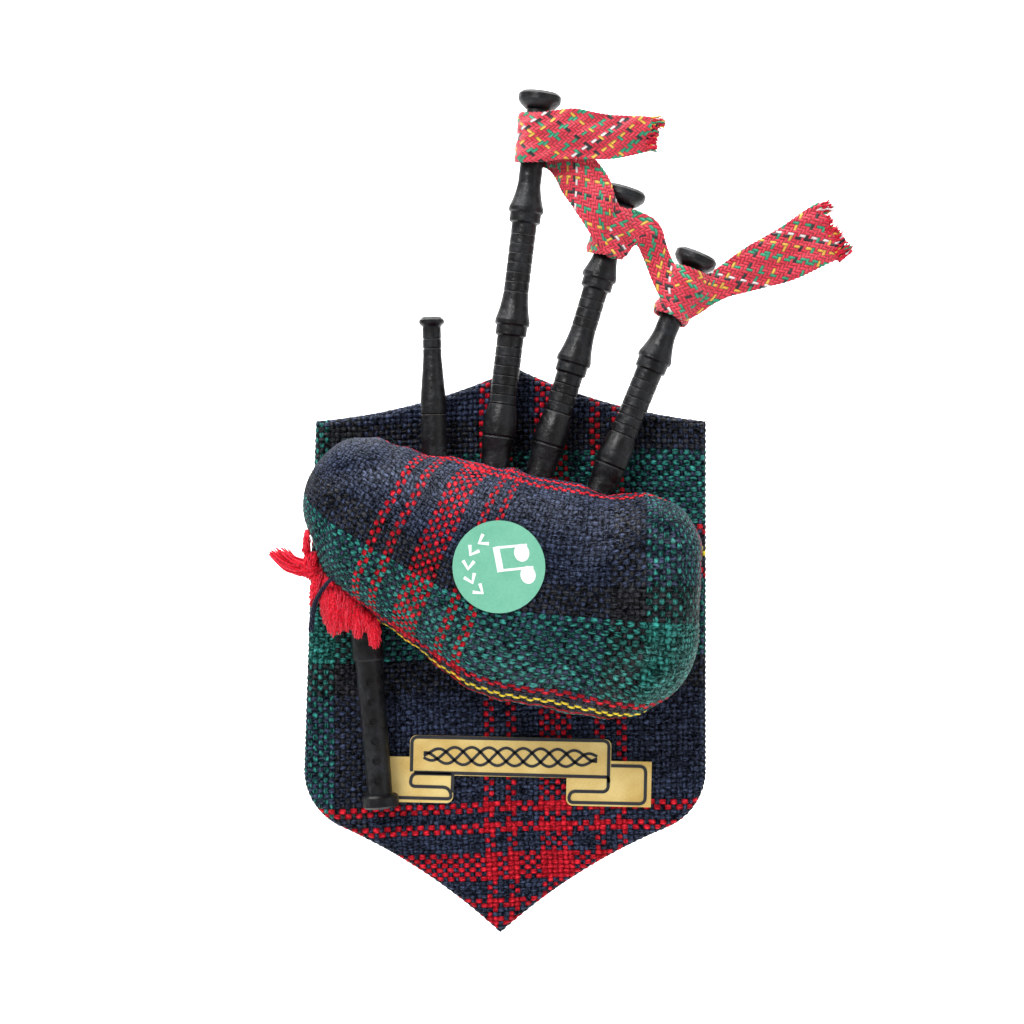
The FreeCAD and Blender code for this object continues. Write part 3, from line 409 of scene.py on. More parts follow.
def lamp(name, place, size, power, aim=(0.0, -0.01, 0.02)):
    """A square softbox at place, in metres, turned to aim."""
    light = bpy.data.lights.new(name, "AREA")
    light.size, light.energy = size, power
    holder = bpy.data.objects.new(name, light)
    holder.location = place
    toward = Vector(aim) - Vector(place)
    holder.rotation_euler = toward.to_track_quat("-Z", "Y").to_euler()
    bpy.context.collection.objects.link(holder)


def studio():
    """A pale sweep well behind and below the object: a floor that curves up into a wall."""
    t = np.linspace(0, 1, 60)
    turn = np.clip((t - 0.4) / 0.2, 0, 1) * math.pi / 2
    y = np.where(t < 0.4, -3000 + 8750 * t, 500 + 700 * np.sin(turn))
    z = np.where(t < 0.6, -400 + 700 * (1 - np.cos(turn)), 300 + 9000 * (t - 0.6))
    across = np.linspace(-5000, 5000, 12)
    points = np.stack([np.broadcast_to(across, (60, 12)), np.broadcast_to(y[:, None], (60, 12)),
                       np.broadcast_to(z[:, None], (60, 12))], -1)
    paper = plain_finish("studio_paper", "#F6F6F6", "#FCFCFC", 4.0, 0.95, 0.01)
    piece("studio_sweep", points, grid_faces(60, 12)[:, ::-1], paper, body=None)
    world = bpy.data.worlds.new("studio")
    world.use_nodes = True
    world.node_tree.nodes["Background"].inputs[0].default_value = (1, 1, 1, 1)
    world.node_tree.nodes["Background"].inputs[1].default_value = 0.42
    bpy.context.scene.world = world
    bpy.context.scene.view_settings.view_transform = "Standard"
    lamp("key_softbox", (-0.4, -0.75, 0.62), 0.34, 8.2)
    lamp("fill_softbox", (0.8, -0.6, 0.15), 0.7, 1.2)
    lamp("wall_light", (0.0, 0.35, 0.9), 1.4, 40, aim=(0.0, 1.2, 0.1))


# ---- the braid that ties the drones ----

# The braid's route, the same points as the CAD solid's. A free point is (x, depth, z, turn, face, share): turn is the
# way that its width points, in degrees from +X towards +Z, face is how far its face is turned to the right of the
# front, and share is its width. A point round a drone's neck is (angle, radius, down): angle 0 is the drone's front
# and 90 its right side, and down is measured from its top.
BASS_TAIL = [
    (22.0, 11.2, 77.9, 95, 8, 0.66),
    (18.6, 11.9, 77.6, 93, 0, 0.80),
    (14.6, 12.6, 77.5, 92, -5, 0.92),
    (10.6, 12.7, 77.7, 89, -8, 1.0),
]
TO_MIDDLE = [
    (9.2, 9.6, 75.0, 66, 14, 0.95),
    (11.0, 10.6, 72.0, 48, 12, 0.95),
    (12.9, 12.1, 68.8, 42, 4, 0.95),
    (14.7, 13.1, 65.4, 60, -8, 0.9),
]
TO_OUTER = [
    (21.4, 11.2, 63.4, 38, 30, 0.62),
    (22.7, 10.3, 60.2, 24, 36, 0.5),
    (24.0, 10.6, 57.0, 24, 28, 0.55),
    (25.5, 12.0, 54.6, 48, 4, 0.8),
]
OUTER_TAIL = [
    (31.8, 10.7, 55.5, 112, 10, 0.56),
    (35.4, 10.9, 56.8, 114, 4, 0.78),
    (39.8, 11.2, 58.9, 116, -4, 0.98),
    (44.5, 11.5, 61.3, 116, 4, 1.12),
    (49.0, 11.2, 63.4, 114, 10, 1.2),
]
ROUND_BASS = [
    (24, 3.3, 7.0), (-4, 3.05, 7.05), (-32, 2.8, 7.1), (-62, 2.6, 7.0), (-92, 2.45, 6.9), (-122, 2.35, 6.9),
    (-152, 2.3, 7.0), (-182, 2.3, 7.1), (-212, 2.3, 7.2), (-242, 2.3, 7.3), (-270, 2.35, 7.5),
]
ROUND_MIDDLE = [
    (2, 2.7, 7.1), (32, 2.6, 7.0), (62, 2.5, 6.8), (92, 2.5, 6.8), (122, 2.5, 6.7), (152, 2.5, 6.7),
    (182, 2.5, 6.7), (212, 2.55, 6.7), (242, 2.65, 6.8), (272, 2.8, 6.9), (302, 3.0, 7.0), (330, 3.25, 7.1),
    (358, 3.45, 7.1), (386, 3.45, 7.0), (412, 3.35, 6.9),
]
ROUND_OUTER = [
    (2, 2.5, 6.8), (32, 2.35, 7.0), (62, 2.3, 7.2), (92, 2.3, 7.2), (122, 2.3, 7.2), (152, 2.3, 7.1),
    (182, 2.3, 7.0), (212, 2.35, 7.0), (242, 2.5, 7.0), (272, 2.7, 7.0), (302, 2.95, 6.9), (330, 3.2, 6.8),
    (358, 3.4, 6.7), (386, 3.4, 6.5), (412, 3.3, 6.3),
]
# Each drone: the x and z of the middle of its top, and its lean in degrees.
BASS, MIDDLE, OUTER = (5.37, 84.5, 7.0), (18.3, 70.1, 16.9), (29.1, 60.3, 22.4)
PIPE_DEPTH = 9.0
BRAID_WIDTH, BRAID_THICKNESS = 7.6, 0.6
YARN = 0.55


def free_points(listed):
    """(middle, way across, way out, share) of each free point, as one array of ten columns."""
    x, depth, z, turn, face, share = np.array(listed, float).T
    turn, face, nil = np.radians(turn), np.radians(face), 0 * x
    middle = np.stack([x, -depth, z], -1)
    across = np.stack([np.cos(turn), nil, np.sin(turn)], -1)
    side = np.stack([np.sin(turn), nil, -np.cos(turn)], -1)
    out = side * np.sin(face)[:, None] + np.stack([nil, -np.cos(face), nil], -1)
    return np.hstack([middle, across, out, share[:, None]])


def neck_points(drone, listed):
    """The same for the points round a drone's neck: middle = top - up * down + out * radius."""
    x, z, lean = drone
    angle, radius, down = np.array(listed, float).T
    angle, lean = np.radians(angle), math.radians(lean)
    up = np.array([math.sin(lean), 0, math.cos(lean)])
    right = np.array([up[2], 0, -up[0]])
    out = np.sin(angle)[:, None] * right - np.cos(angle)[:, None] * np.array([0, 1, 0])
    middle = np.array([x, -PIPE_DEPTH, z]) - down[:, None] * up + out * radius[:, None]
    return np.hstack([middle, np.broadcast_to(up, out.shape), out, np.ones((len(out), 1))])


def braid_route():
    return np.vstack([
        free_points(BASS_TAIL), neck_points(BASS, ROUND_BASS), free_points(TO_MIDDLE),
        neck_points(MIDDLE, ROUND_MIDDLE), free_points(TO_OUTER), neck_points(OUTER, ROUND_OUTER),
        free_points(OUTER_TAIL),
    ])


def smooth_lines(*routes):
    """Points along the NURBS spline of each route. The routes have as many points, so their lines match."""
    curve = bpy.data.curves.new("route", "CURVE")
    curve.dimensions = "3D"
    curve.resolution_u = 12
    for route in routes:
        spline = curve.splines.new("NURBS")
        spline.points.add(len(route) - 1)
        spline.points.foreach_set("co", np.hstack([route, np.ones((len(route), 1))]).ravel())
        spline.order_u = 3
        spline.use_endpoint_u = True
    holder = bpy.data.objects.new("route", curve)
    bpy.context.collection.objects.link(holder)
    line = bpy.data.meshes.new_from_object(holder)
    read = np.zeros(len(line.vertices) * 3)
    line.vertices.foreach_get("co", read)
    bpy.data.objects.remove(holder)
    return read.reshape(len(routes), -1, 3)


def evenly(lines, step):
    """The matched lines again, at points step apart along the first."""
    run = np.concatenate([[0], np.cumsum(np.linalg.norm(np.diff(lines[0], axis=0), axis=1))])
    at = np.arange(0, run[-1], step)
    return at, np.stack([np.stack([np.interp(at, run, line[:, k]) for k in range(3)], -1) for line in lines])


def braid_relief(u, v):
    """Height of a braid over two and under two: one minus the square of the place across the float on top, less half
    the square of the place along it."""
    step = np.mod(np.floor(u) - np.floor(v), 4)
    in_one, in_other = u - np.floor(u), v - np.floor(v)
    one_up = step < 1.5
    across = np.where(one_up, in_one, in_other) * 2 - 1
    along = np.where(one_up, in_other - step, in_one + step - 3)
    return (1 - across ** 2) * (1 - 0.5 * along ** 2)


def drone_braid():
    """A flat band whose section is a flattened ring: across * cos a, and out * sin a made blunt. The yarns stand out
    of both faces, and the band cups a little and buckles along its edges."""
    route = braid_route()
    middle, across, out, share = route[:, :3], route[:, 3:6], route[:, 6:9], route[:, 9:]
    run, (line, edge, face) = evenly(smooth_lines(middle, middle + across * share, middle + out), 0.17)
    reach = edge - line
    share = np.linalg.norm(reach, axis=1, keepdims=True)
    across = reach / share
    out = unit(face - line - across * np.sum((face - line) * across, axis=1, keepdims=True))
    a = np.linspace(0, 2 * math.pi, 97)[:-1]
    flat = np.sign(np.cos(a)) * np.abs(np.cos(a)) ** 0.9
    blunt = np.sign(np.sin(a)) * np.abs(np.sin(a)) ** 0.35
    width = share * BRAID_WIDTH / 2
    sideways = flat[None, :] * width
    u = run[:, None] / 0.72 + sideways / YARN
    v = run[:, None] / 0.72 - sideways / YARN
    free = np.clip((2.0 - np.abs(np.linalg.norm(line - line.mean(0), axis=1) / 12 - 1.2)) * 0.4, 0.2, 0.8)[:, None]
    buckle = 0.28 * free * np.sin(run[:, None] / 1.9 + 2.2 * np.sign(flat)) * flat ** 2
    lift = blunt * (BRAID_THICKNESS / 2 + 0.2 * (braid_relief(u, v) - 0.5)) + buckle
    lift = lift + 0.16 * np.sin(run[:, None] / 0.93 + sideways * 1.1) * np.sin(sideways * 1.7 + run[:, None] / 2.3)
    lift = lift + 0.22 * np.sin(sideways * 1.25 + 1.6 * np.sin(run[:, None] / 5.0)) * free
    ragged = 1 + 0.014 * np.sin(run[:, None] * 8.7) + 0.05 * np.sin(run[:, None] / 2.1 + flat * 1.4)
    points = (
        line[:, None]
        + across[:, None] * (sideways * ragged)[:, :, None]
        + out[:, None] * lift[:, :, None]
    )
    rows, cols = points.shape[:2]
    faces = grid_faces(rows, cols, round_cols=True)
    half = cols // 2
    lid = np.stack([np.arange(1, half), np.arange(0, half - 1), cols - 1 - np.arange(0, half - 1),
                    cols - 2 - np.arange(0, half - 1)], -1)
    lid[0, 2] = 0
    faces = np.vstack([faces, lid[1:], (lid[1:, ::-1] + (rows - 1) * cols)])
    braid = piece("tied_braid", points, faces, braided_viscose(), uv=np.stack([u, v], -1))
    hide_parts("drone_braid")
    frays = [fray("short_tail_fray", line[0], line[0] - line[1], across[0], out[0], width[0, 0],
                  [(0.72, 0.3, 2.3), (0.1, 0.34, 1.2), (-0.6, 0.38, 0.7)]),
             fray("long_tail_fray", line[-1], line[-1] - line[-2], across[-1], out[-1], width[-1, 0],
                  [(0.82, 0.18, 1.9), (0.3, 0.36, 0.8), (-0.35, 0.36, 1.5), (-0.85, 0.16, 2.2)])]
    return braid


def fray(name, end, onward, across, out, reach, lobes):
    """The unravelled end of the braid: bundles of yarn that go on from it, crimped and spread a little. lobes lists
    (place across, half width, length) of each bundle."""
    steps = 9
    onward, t = unit(onward), np.linspace(0, 1, steps)
    lines, sizes, shades = [], [], []
    for place, half, long in lobes:
        count = int(34 * half / 0.3)
        off = RNG.uniform(-1, 1, count)
        side = ((place + off * half) * reach)[:, None] * (1 - 0.1 * t) + RNG.normal(0, 0.35, (count, 1)) * t ** 2
        reach_on = -0.9 + t * (0.9 + long * RNG.uniform(0.7, 1.05, (count, 1)) * (1 - 0.25 * off[:, None] ** 2))
        phase = RNG.uniform(0, 6.3, (count, 1))
        lift = RNG.uniform(-0.25, 0.3, (count, 1)) + 0.09 * np.sin(14 * t + phase) + RNG.normal(0, 0.2, (count, 1)) * t
        side = side + 0.08 * np.cos(13 * t + phase)
        lines.append(end + onward * reach_on[..., None] + across * side[..., None] + out * lift[..., None])
        sizes.append(np.broadcast_to(0.17 * (1 - 0.35 * t ** 3), (count, steps)) * RNG.uniform(0.7, 1.2, (count, 1)))
        shades.append(RNG.uniform(0, 1, count))
    colours = [B_RED, B_RED, B_RED, B_GREEN, B_RED, B_RED, B_BLACK, B_RED, B_WHITE, B_RED, B_RED, B_YELLOW, B_RED]
    return loose_ends(name, np.concatenate(lines), np.concatenate(sizes), np.concatenate(shades),
                      loose_yarn(name + "_yarn", colours, 0.55))


# ---- the plaque's cloth ----

SHIELD_WIDTH, SHIELD_INSET, SHOULDER, PEAK, PEAK_X = 61.2, 1.8, 35.1, 43.2, 1.6
HIP, POINT, POINT_X, HIP_ROUND, HIP_TURN, BROW_BOW, FLANK_BOW = 18.0, 42.8, -0.7, 9.5, 67.0, 90.0, 88.0
CLOTH_FACE, EDGE_ROUND = 5.6, 1.1


def arc(a, b, radius, count=24):
    """Points from a towards b along an arc. A positive radius bows it to the left of the way from a to b."""
    a, b = np.array(a, float), np.array(b, float)
    half = np.linalg.norm(b - a) / 2
    along = (b - a) / (2 * half)
    left = np.array([-along[1], along[0]])
    centre = (a + b) / 2 - left * math.copysign(math.sqrt(radius ** 2 - half ** 2), radius)
    start, sweep = a - centre, 2 * math.asin(half / abs(radius)) * -math.copysign(1, radius)
    turn = np.linspace(0, sweep, count)[:-1]
    return centre + np.stack([start[0] * np.cos(turn) - start[1] * np.sin(turn),
                              start[0] * np.sin(turn) + start[1] * np.cos(turn)], -1)


def shield_outline():
    """The cloth's outline in (x, z), clockwise from its peak."""
    half = SHIELD_WIDTH / 2
    flank_x = half - HIP_ROUND * (1 - math.cos(math.radians(HIP_TURN)))
    flank_z = -HIP - HIP_ROUND * math.sin(math.radians(HIP_TURN))
    peak, point = (PEAK_X, PEAK), (POINT_X, -POINT)
    side = np.linspace(0, 1, 20)[:-1, None]
    right_top, right_hip = np.array([half, SHOULDER]), np.array([half, -HIP])
    left_hip, left_top = np.array([-half, -HIP]), np.array([SHIELD_INSET - half, SHOULDER])
    return np.vstack([
        arc(peak, right_top, -BROW_BOW), right_top + (right_hip - right_top) * side,
        arc(right_hip, (flank_x, flank_z), HIP_ROUND), arc((flank_x, flank_z), point, -FLANK_BOW),
        arc(point, (-flank_x, flank_z), -FLANK_BOW), arc((-flank_x, flank_z), left_hip, HIP_ROUND),
        left_hip + (left_top - left_hip) * side, arc(left_top, peak, -BROW_BOW),
    ])


def from_outline(points, outline):
    """(signed distance, nearest point) from a closed outline, for points (n, 2). Outside is positive."""
    a, b = outline, np.roll(outline, -1, 0)
    step = b - a
    long = np.sum(step ** 2, axis=1)
    distance, nearest = np.empty(len(points)), np.empty_like(points)
    for at in range(0, len(points), 4000):
        p = points[at:at + 4000]
        t = np.clip(((p[:, None] - a) * step).sum(-1) / long, 0, 1)
        foot = a + t[..., None] * step
        far = np.linalg.norm(p[:, None] - foot, axis=-1)
        best = far.argmin(1)
        rows = np.arange(len(p))
        crossing = ((a[:, 1] > p[:, 1:]) != (b[:, 1] > p[:, 1:])) & (
            p[:, :1] < step[:, 0] * (p[:, 1:] - a[:, 1]) / np.where(step[:, 1] == 0, 1e-9, step[:, 1]) + a[:, 0])
        inside = crossing.sum(1) % 2 == 1
        distance[at:at + 4000] = np.where(inside, -far[rows, best], far[rows, best])
        nearest[at:at + 4000] = foot[rows, best]
    return distance, nearest


def weave_relief(u, v):
    """Height of a plain weave, from 0 to about 1: the higher of the warp and the weft, each crimp * cos(pi * (run -
    0.5)) plus a half circle across it."""
    def height(side, run, width, way, lift):
        place = (2 * (side - np.floor(side)) - 1) / width
        return (lift + way * CRIMP * np.cos(math.pi * (run - 0.5))
                + YARN_ROUND * np.sqrt(np.clip(1 - place ** 2, 0, 1)))
    warp = height(u, v - np.floor(u), 0.9, 1.0, 0.0)
    weft = height(v, u - np.floor(v), 1.0, -1.0, WEFT_LIFT)
    return np.clip(np.maximum(warp, weft), 0, 1.1)


def shield_cloth(material):
    """The cloth lies flat on the board. Past the edge, at a distance d, it turns round the board: an arc, the side,
    a smaller arc, and a short turning that the liner covers."""
    warp_pitch, weft_pitch, skew = 0.84, 0.82, math.radians(1.5)
    u, v = np.meshgrid(np.arange(22, 114, 1 / 3), np.arange(55, 179, 1 / 3))
    rows = v - RED_BLOCK
    du = (u - RED_BLOCK) * warp_pitch
    dv = rows * weft_pitch - np.where(rows > 0, 0.95 * np.tanh(rows / 9), 0.13 * np.maximum(rows, -14))
    x = 8.0 + du - dv * math.sin(0.45 * skew)
    z = -32.3 + du * math.sin(skew) + dv
    x = x + 0.2 * np.sin(z / 8.5 + 0.6) + 0.1 * np.sin(z / 3.1)
    z = z + 0.25 * (np.sin(x / 10.5 + 1.0) - 0.98) + 0.08 * np.sin(x / 2.7 + z / 5)
    flat = np.stack([x, z], -1).reshape(-1, 2)
    distance, nearest = from_outline(flat, shield_outline())
    past = distance + EDGE_ROUND
    toward = unit(flat - nearest) * np.sign(distance)[:, None]
    arc_long, side, small = EDGE_ROUND * math.pi / 2, 1.5, 0.6
    small_long = small * math.pi / 2
    turn = np.clip(past / EDGE_ROUND, 0, math.pi / 2)
    down = np.clip(past - arc_long, 0, side)
    turn_back = np.clip((past - arc_long - side) / small, 0, math.pi / 2)
    under = np.clip(past - arc_long - side - small_long, 0, 5)
    reach = -EDGE_ROUND * (1 - np.sin(turn)) - small * (1 - np.cos(turn_back)) - under
    depth = CLOTH_FACE - EDGE_ROUND * (1 - np.cos(turn)) - down - small * np.sin(turn_back)
    beyond = past > 0
    where = np.where(beyond[:, None], nearest + toward * reach[:, None], flat)
    depth = depth + 0.1 * np.sin(flat[:, 0] / 6.3) * np.sin(flat[:, 1] / 5.1) * ~beyond
    points = np.stack([where[:, 0], -depth, where[:, 1]], -1).reshape(*u.shape, 3)
    relief = 0.26 * weave_relief(u, v)[..., None] - 0.14
    points = points + away_from_board(points, where.reshape(*u.shape, 2), depth.reshape(u.shape)) * relief
    keep = (past < arc_long + side + small_long + 1.5).reshape(u.shape)
    faces = grid_faces(*u.shape)
    faces = faces[keep.ravel()[faces].all(1)]
    points, faces, uv = drop_unused(points.reshape(-1, 3), faces, np.stack([u, v], -1).reshape(-1, 2))
    cloth = piece("plaque_cloth", points, faces, material, uv=uv)
    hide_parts("shield_tartan")
    return cloth


def away_from_board(points, where, depth):
    """Unit vectors away from the board: towards the front on its face, and sideways on its edge."""
    normal = facing_out(points)
    flip = np.where((normal * np.stack([where[..., 0] * 0.02, -(depth - 3.9), where[..., 1] * 0.02], -1)).sum(-1) < 0,
                    -1.0, 1.0)
    return normal * flip[..., None]


# ---- the bag's cloth ----

# The circles whose hull is the bag's outline, as (x, z, radius), the same as the CAD solid's.
BAG_CIRCLES = np.array([
    (-20.8, 22.9, 9.4), (21.3, 15.4, 8.0), (15.5, 4.2, 13.7), (3.0, 9.0, 16.4), (-20.0, 16.8, 8.3),
])
BUTTON = (-0.8, 13.5)
BAG_CROWN, BAG_WAIST, BAG_BACK = 29.55, 11.5, 5.75


def inside_bag(p):
    """(distance inside the bag's outline, way out) for points (n, 2). The outline's support in a direction n is the
    most of centre . n + radius over the circles, and the distance is the least of support - p . n."""
    angle = np.radians(np.arange(0, 360, 0.5))
    ways = np.stack([np.cos(angle), np.sin(angle)], -1)
    support = (BAG_CIRCLES[:, :2] @ ways.T + BAG_CIRCLES[:, 2:]).max(0)
    inside, way = np.empty(len(p)), np.empty_like(p)
    for at in range(0, len(p), 4000):
        gap = support - p[at:at + 4000] @ ways.T
        best = gap.argmin(1)
        rows = np.arange(len(gap))
        low, mid, high = gap[rows, best - 1], gap[rows, best], gap[rows, (best + 1) % len(angle)]
        shift = np.clip(0.5 * (low - high) / np.maximum(low - 2 * mid + high, 1e-12), -0.5, 0.5)
        exact = angle[best] + shift * math.radians(0.5)
        inside[at:at + 4000] = mid - 0.25 * (low - high) * shift
        way[at:at + 4000] = np.stack([np.cos(exact), np.sin(exact)], -1)
    return inside, way


def swelling():
    """How a skin over the bag's outline bulges, from 0 at the outline to 1: the solution of a stretched membrane,
    whose every point is the mean of its neighbours plus a constant, on a grid of half millimetres."""
    x, z = np.meshgrid(np.arange(-34, 34, 0.5), np.arange(-14, 37, 0.5), indexing="ij")
    inside = inside_bag(np.stack([x, z], -1).reshape(-1, 2))[0].reshape(x.shape) > 0
    bulge = np.zeros(x.shape)
    for _ in range(2600):
        mean = (np.roll(bulge, 1, 0) + np.roll(bulge, -1, 0) + np.roll(bulge, 1, 1) + np.roll(bulge, -1, 1)) / 4
        bulge = (mean + 0.001) * inside
    return bulge / bulge.max()


def sample(field, x, z, x0=-34.0, z0=-14.0, step=0.5):
    """Bilinear reading of a field."""
    i, j = np.clip((x - x0) / step, 0, field.shape[0] - 1.001), np.clip((z - z0) / step, 0, field.shape[1] - 1.001)
    a, b = i.astype(int), j.astype(int)
    s, t = i - a, j - b
    return ((field[a, b] * (1 - s) + field[a + 1, b] * s) * (1 - t)
            + (field[a, b + 1] * (1 - s) + field[a + 1, b + 1] * s) * t)


def bag_folds(x, z, inside):
    """How far the cloth stands out or in for its folds: slow lumps of the wadding, dips between the pipes' roots,
    long creases, each a valley with a ridge beside it, and puckers along the seam."""
    folds = 0.5 * np.sin(x / 5.3 + 0.8) * np.sin(z / 4.6 + 0.4) + 0.3 * np.sin(x / 2.9 + z / 3.7)
    folds += 0.2 * np.sin(x / 1.7 - z / 2.3 + 1.5 * np.sin(z / 4))
    for px, pz in ((-10.6, 31.0), (-1.6, 28.6), (5.2, 27.4), (14.2, 25.4)):
        folds -= 1.6 * np.exp(-((x - px) / 2.6) ** 2 - ((z - pz) / 4.5) ** 2)
    for cx, cz, way, half, long, deep in (
            (20.0, 21.0, -32, 1.2, 9.0, 1.7), (23.5, 14.5, -12, 1.5, 7.0, 1.1), (16.0, 24.6, -20, 1.0, 7.0, 1.0),
            (-21.0, 27.6, 22, 1.6, 7.0, 1.0), (-25.0, 20.5, 62, 1.5, 7.0, 0.9), (-17.0, 10.0, -58, 1.5, 6.0, 0.8),
            (9.0, -3.6, 78, 1.5, 5.0, 0.8), (20.0, -1.5, 48, 1.6, 6.0, 0.9), (-4.0, 1.8, 52, 1.3, 5.0, 0.7)):
        c, s = math.cos(math.radians(way)), math.sin(math.radians(way))
        along, across = (x - cx) * c + (z - cz) * s, (z - cz) * c - (x - cx) * s
        across = across + 0.5 * np.sin(along / 2.6)
        folds -= deep * np.exp(-(across / half) ** 2 - (along / long * 1.4) ** 4)
        folds += 0.5 * deep * np.exp(-((across - 2.2 * half) / (1.5 * half)) ** 2 - (along / long * 1.4) ** 4)
    seam = np.exp(-np.clip(inside, 0, 20) / 2.4)
    folds += 0.4 * seam * np.sin((x - 0.4 * z) * 1.15 + 0.8 * np.sin(x / 3))
    calm = 1 - np.exp(-(((x - BUTTON[0]) ** 2 + (z - BUTTON[1]) ** 2) / 95) ** 2)
    return folds * calm


def bag_surface(u, v):
    """The bag's cloth as a function of its threads. A spine runs from the upper left, sloping down to the right and
    flattening out. A point is u along the spine and v below it, along warps that lean less towards the right. Nearer
    the outline than a band, the cloth goes down the bag's side: the band's points are spaced evenly by their run
    along height * (share of the band) ** 0.42, and past the outline a quarter ellipse turns in under the bag."""
    threads = u - RED_BLOCK
    run = np.arange(-70, 70, 0.1)
    slope = np.radians(-29.0 + 26.0 * smooth_step((run + 3.0) / 30.0))
    spine_x, spine_z = np.cumsum(np.cos(slope)) * 0.1, np.cumsum(np.sin(slope)) * 0.1
    spine_x += -12.9 - np.interp(0, run, spine_x)
    spine_z += 12.7 - np.interp(0, run, spine_z)
    s = np.interp(threads, [-90, -50, -14, 14, 26, 40, 60, 90],
                  [-68.0, -36.0, -8.8, 10.8, 21.6, 34.2, 54.0, 84.0])
    lean = np.radians(np.interp(threads, [-60, -14, 3, 12, 26, 42, 60], [20, 24.5, 24.0, 19.0, 9.0, 2.0, -4.0]))
    left, right = smooth_step((1 - threads) / 20), smooth_step((threads - 27) / 22)
    up = (GREEN_START - v) * np.where(v < GREEN_START, 0.73 * (1 + 0.13 * left + 0.25 * right),
                                      0.79 * (1 + 0.1 * left + 0.35 * right))
    x = np.interp(s, run, spine_x) + np.sin(lean) * up
    z = np.interp(s, run, spine_z) + np.cos(lean) * up
    x, z = x + 0.25 * np.sin(z / 4.1 + 0.3) + 0.1 * np.sin(z / 1.9 + x / 3), z + 0.22 * np.sin(x / 5.3)
    flat = np.stack([x, z], -1).reshape(-1, 2)
    inside, way = inside_bag(flat)
    band, under, tuck = 3.6, 7.6, 3.6
    slope_in = band * np.linspace(1, 0, 200) ** 3
    slope_run = np.hypot(np.gradient(slope_in), np.gradient((BAG_CROWN - BAG_WAIST) * (0.095 * slope_in) ** 0.42))
    slope_run = np.cumsum(slope_run) - slope_run[0]
    over = slope_run[-1]
    past = band - inside
    second = np.clip((past - over) / under, 0, 1) * math.pi / 2
    edge_in = np.interp(past, slope_run, slope_in) + tuck * (1 - np.cos(second))
    edge_in = np.where(past > 0, edge_in, inside)
    place = flat + way * (inside - edge_in)[:, None]
    probe = place - way * np.clip(1 - edge_in, 0, 1)[:, None]
    bulge = sample(SWELL, probe[:, 0], probe[:, 1]) * np.clip(edge_in, 0, 1)
    height = (BAG_CROWN - BAG_WAIST) * np.clip(bulge, 0, 1) ** 0.42
    depth = BAG_WAIST + height * (past <= over)
    depth = np.where(past > over, BAG_WAIST - (BAG_WAIST - BAG_BACK) * np.sin(second), depth)
    stand = bag_folds(place[:, 0], place[:, 1], edge_in)
    depth = depth + stand * np.clip(height / 10, 0, 1)
    pressed = np.exp(-(((place[:, 0] - BUTTON[0]) ** 2 + (place[:, 1] - BUTTON[1]) ** 2) / 100) ** 2)
    depth = np.where(past > over, depth, depth * (1 - pressed) + (BAG_CROWN - 0.05) * pressed)
    place = place + way * (stand * 0.35 * np.clip(1 - height / 14, 0, 1))[:, None]
    points = np.stack([place[:, 0], -depth, place[:, 1]], -1).reshape(*u.shape, 3)
    return points, (past - over - under).reshape(u.shape)


def smooth_step(t):
    t = np.clip(t, 0, 1)
    return t * t * (3 - 2 * t)


def bag_cloth(material):
    """The sewn cover, thread by thread, with the yarns standing out of it."""
    u, v = np.meshgrid(np.arange(RED_BLOCK - 62, RED_BLOCK + 78, 1 / 3),
                       np.arange(GREEN_START - 56, GREEN_START + 46, 1 / 3))
    points, past = bag_surface(u, v)
    outward = facing_out(points)
    centre = np.array([0.0, -12.0, 11.0])
    outward = outward * np.where((outward * (points - centre)).sum(-1) < 0, -1.0, 1.0)[..., None]
    points = points + outward * (0.26 * weave_relief(u, v) - 0.26)[..., None]
    keep = (past < 0.6).ravel()
    faces = grid_faces(*u.shape)
    faces = faces[keep[faces].all(1)]
    points, faces, uv = drop_unused(points.reshape(-1, 3), faces, np.stack([u, v], -1).reshape(-1, 2))
    cloth = piece("stuffed_bag", points, faces, material, body=None, uv=uv)
    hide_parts("bag_cover", "bag_wadding")
    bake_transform(cloth)
    return cloth


# ---- the fringe ----


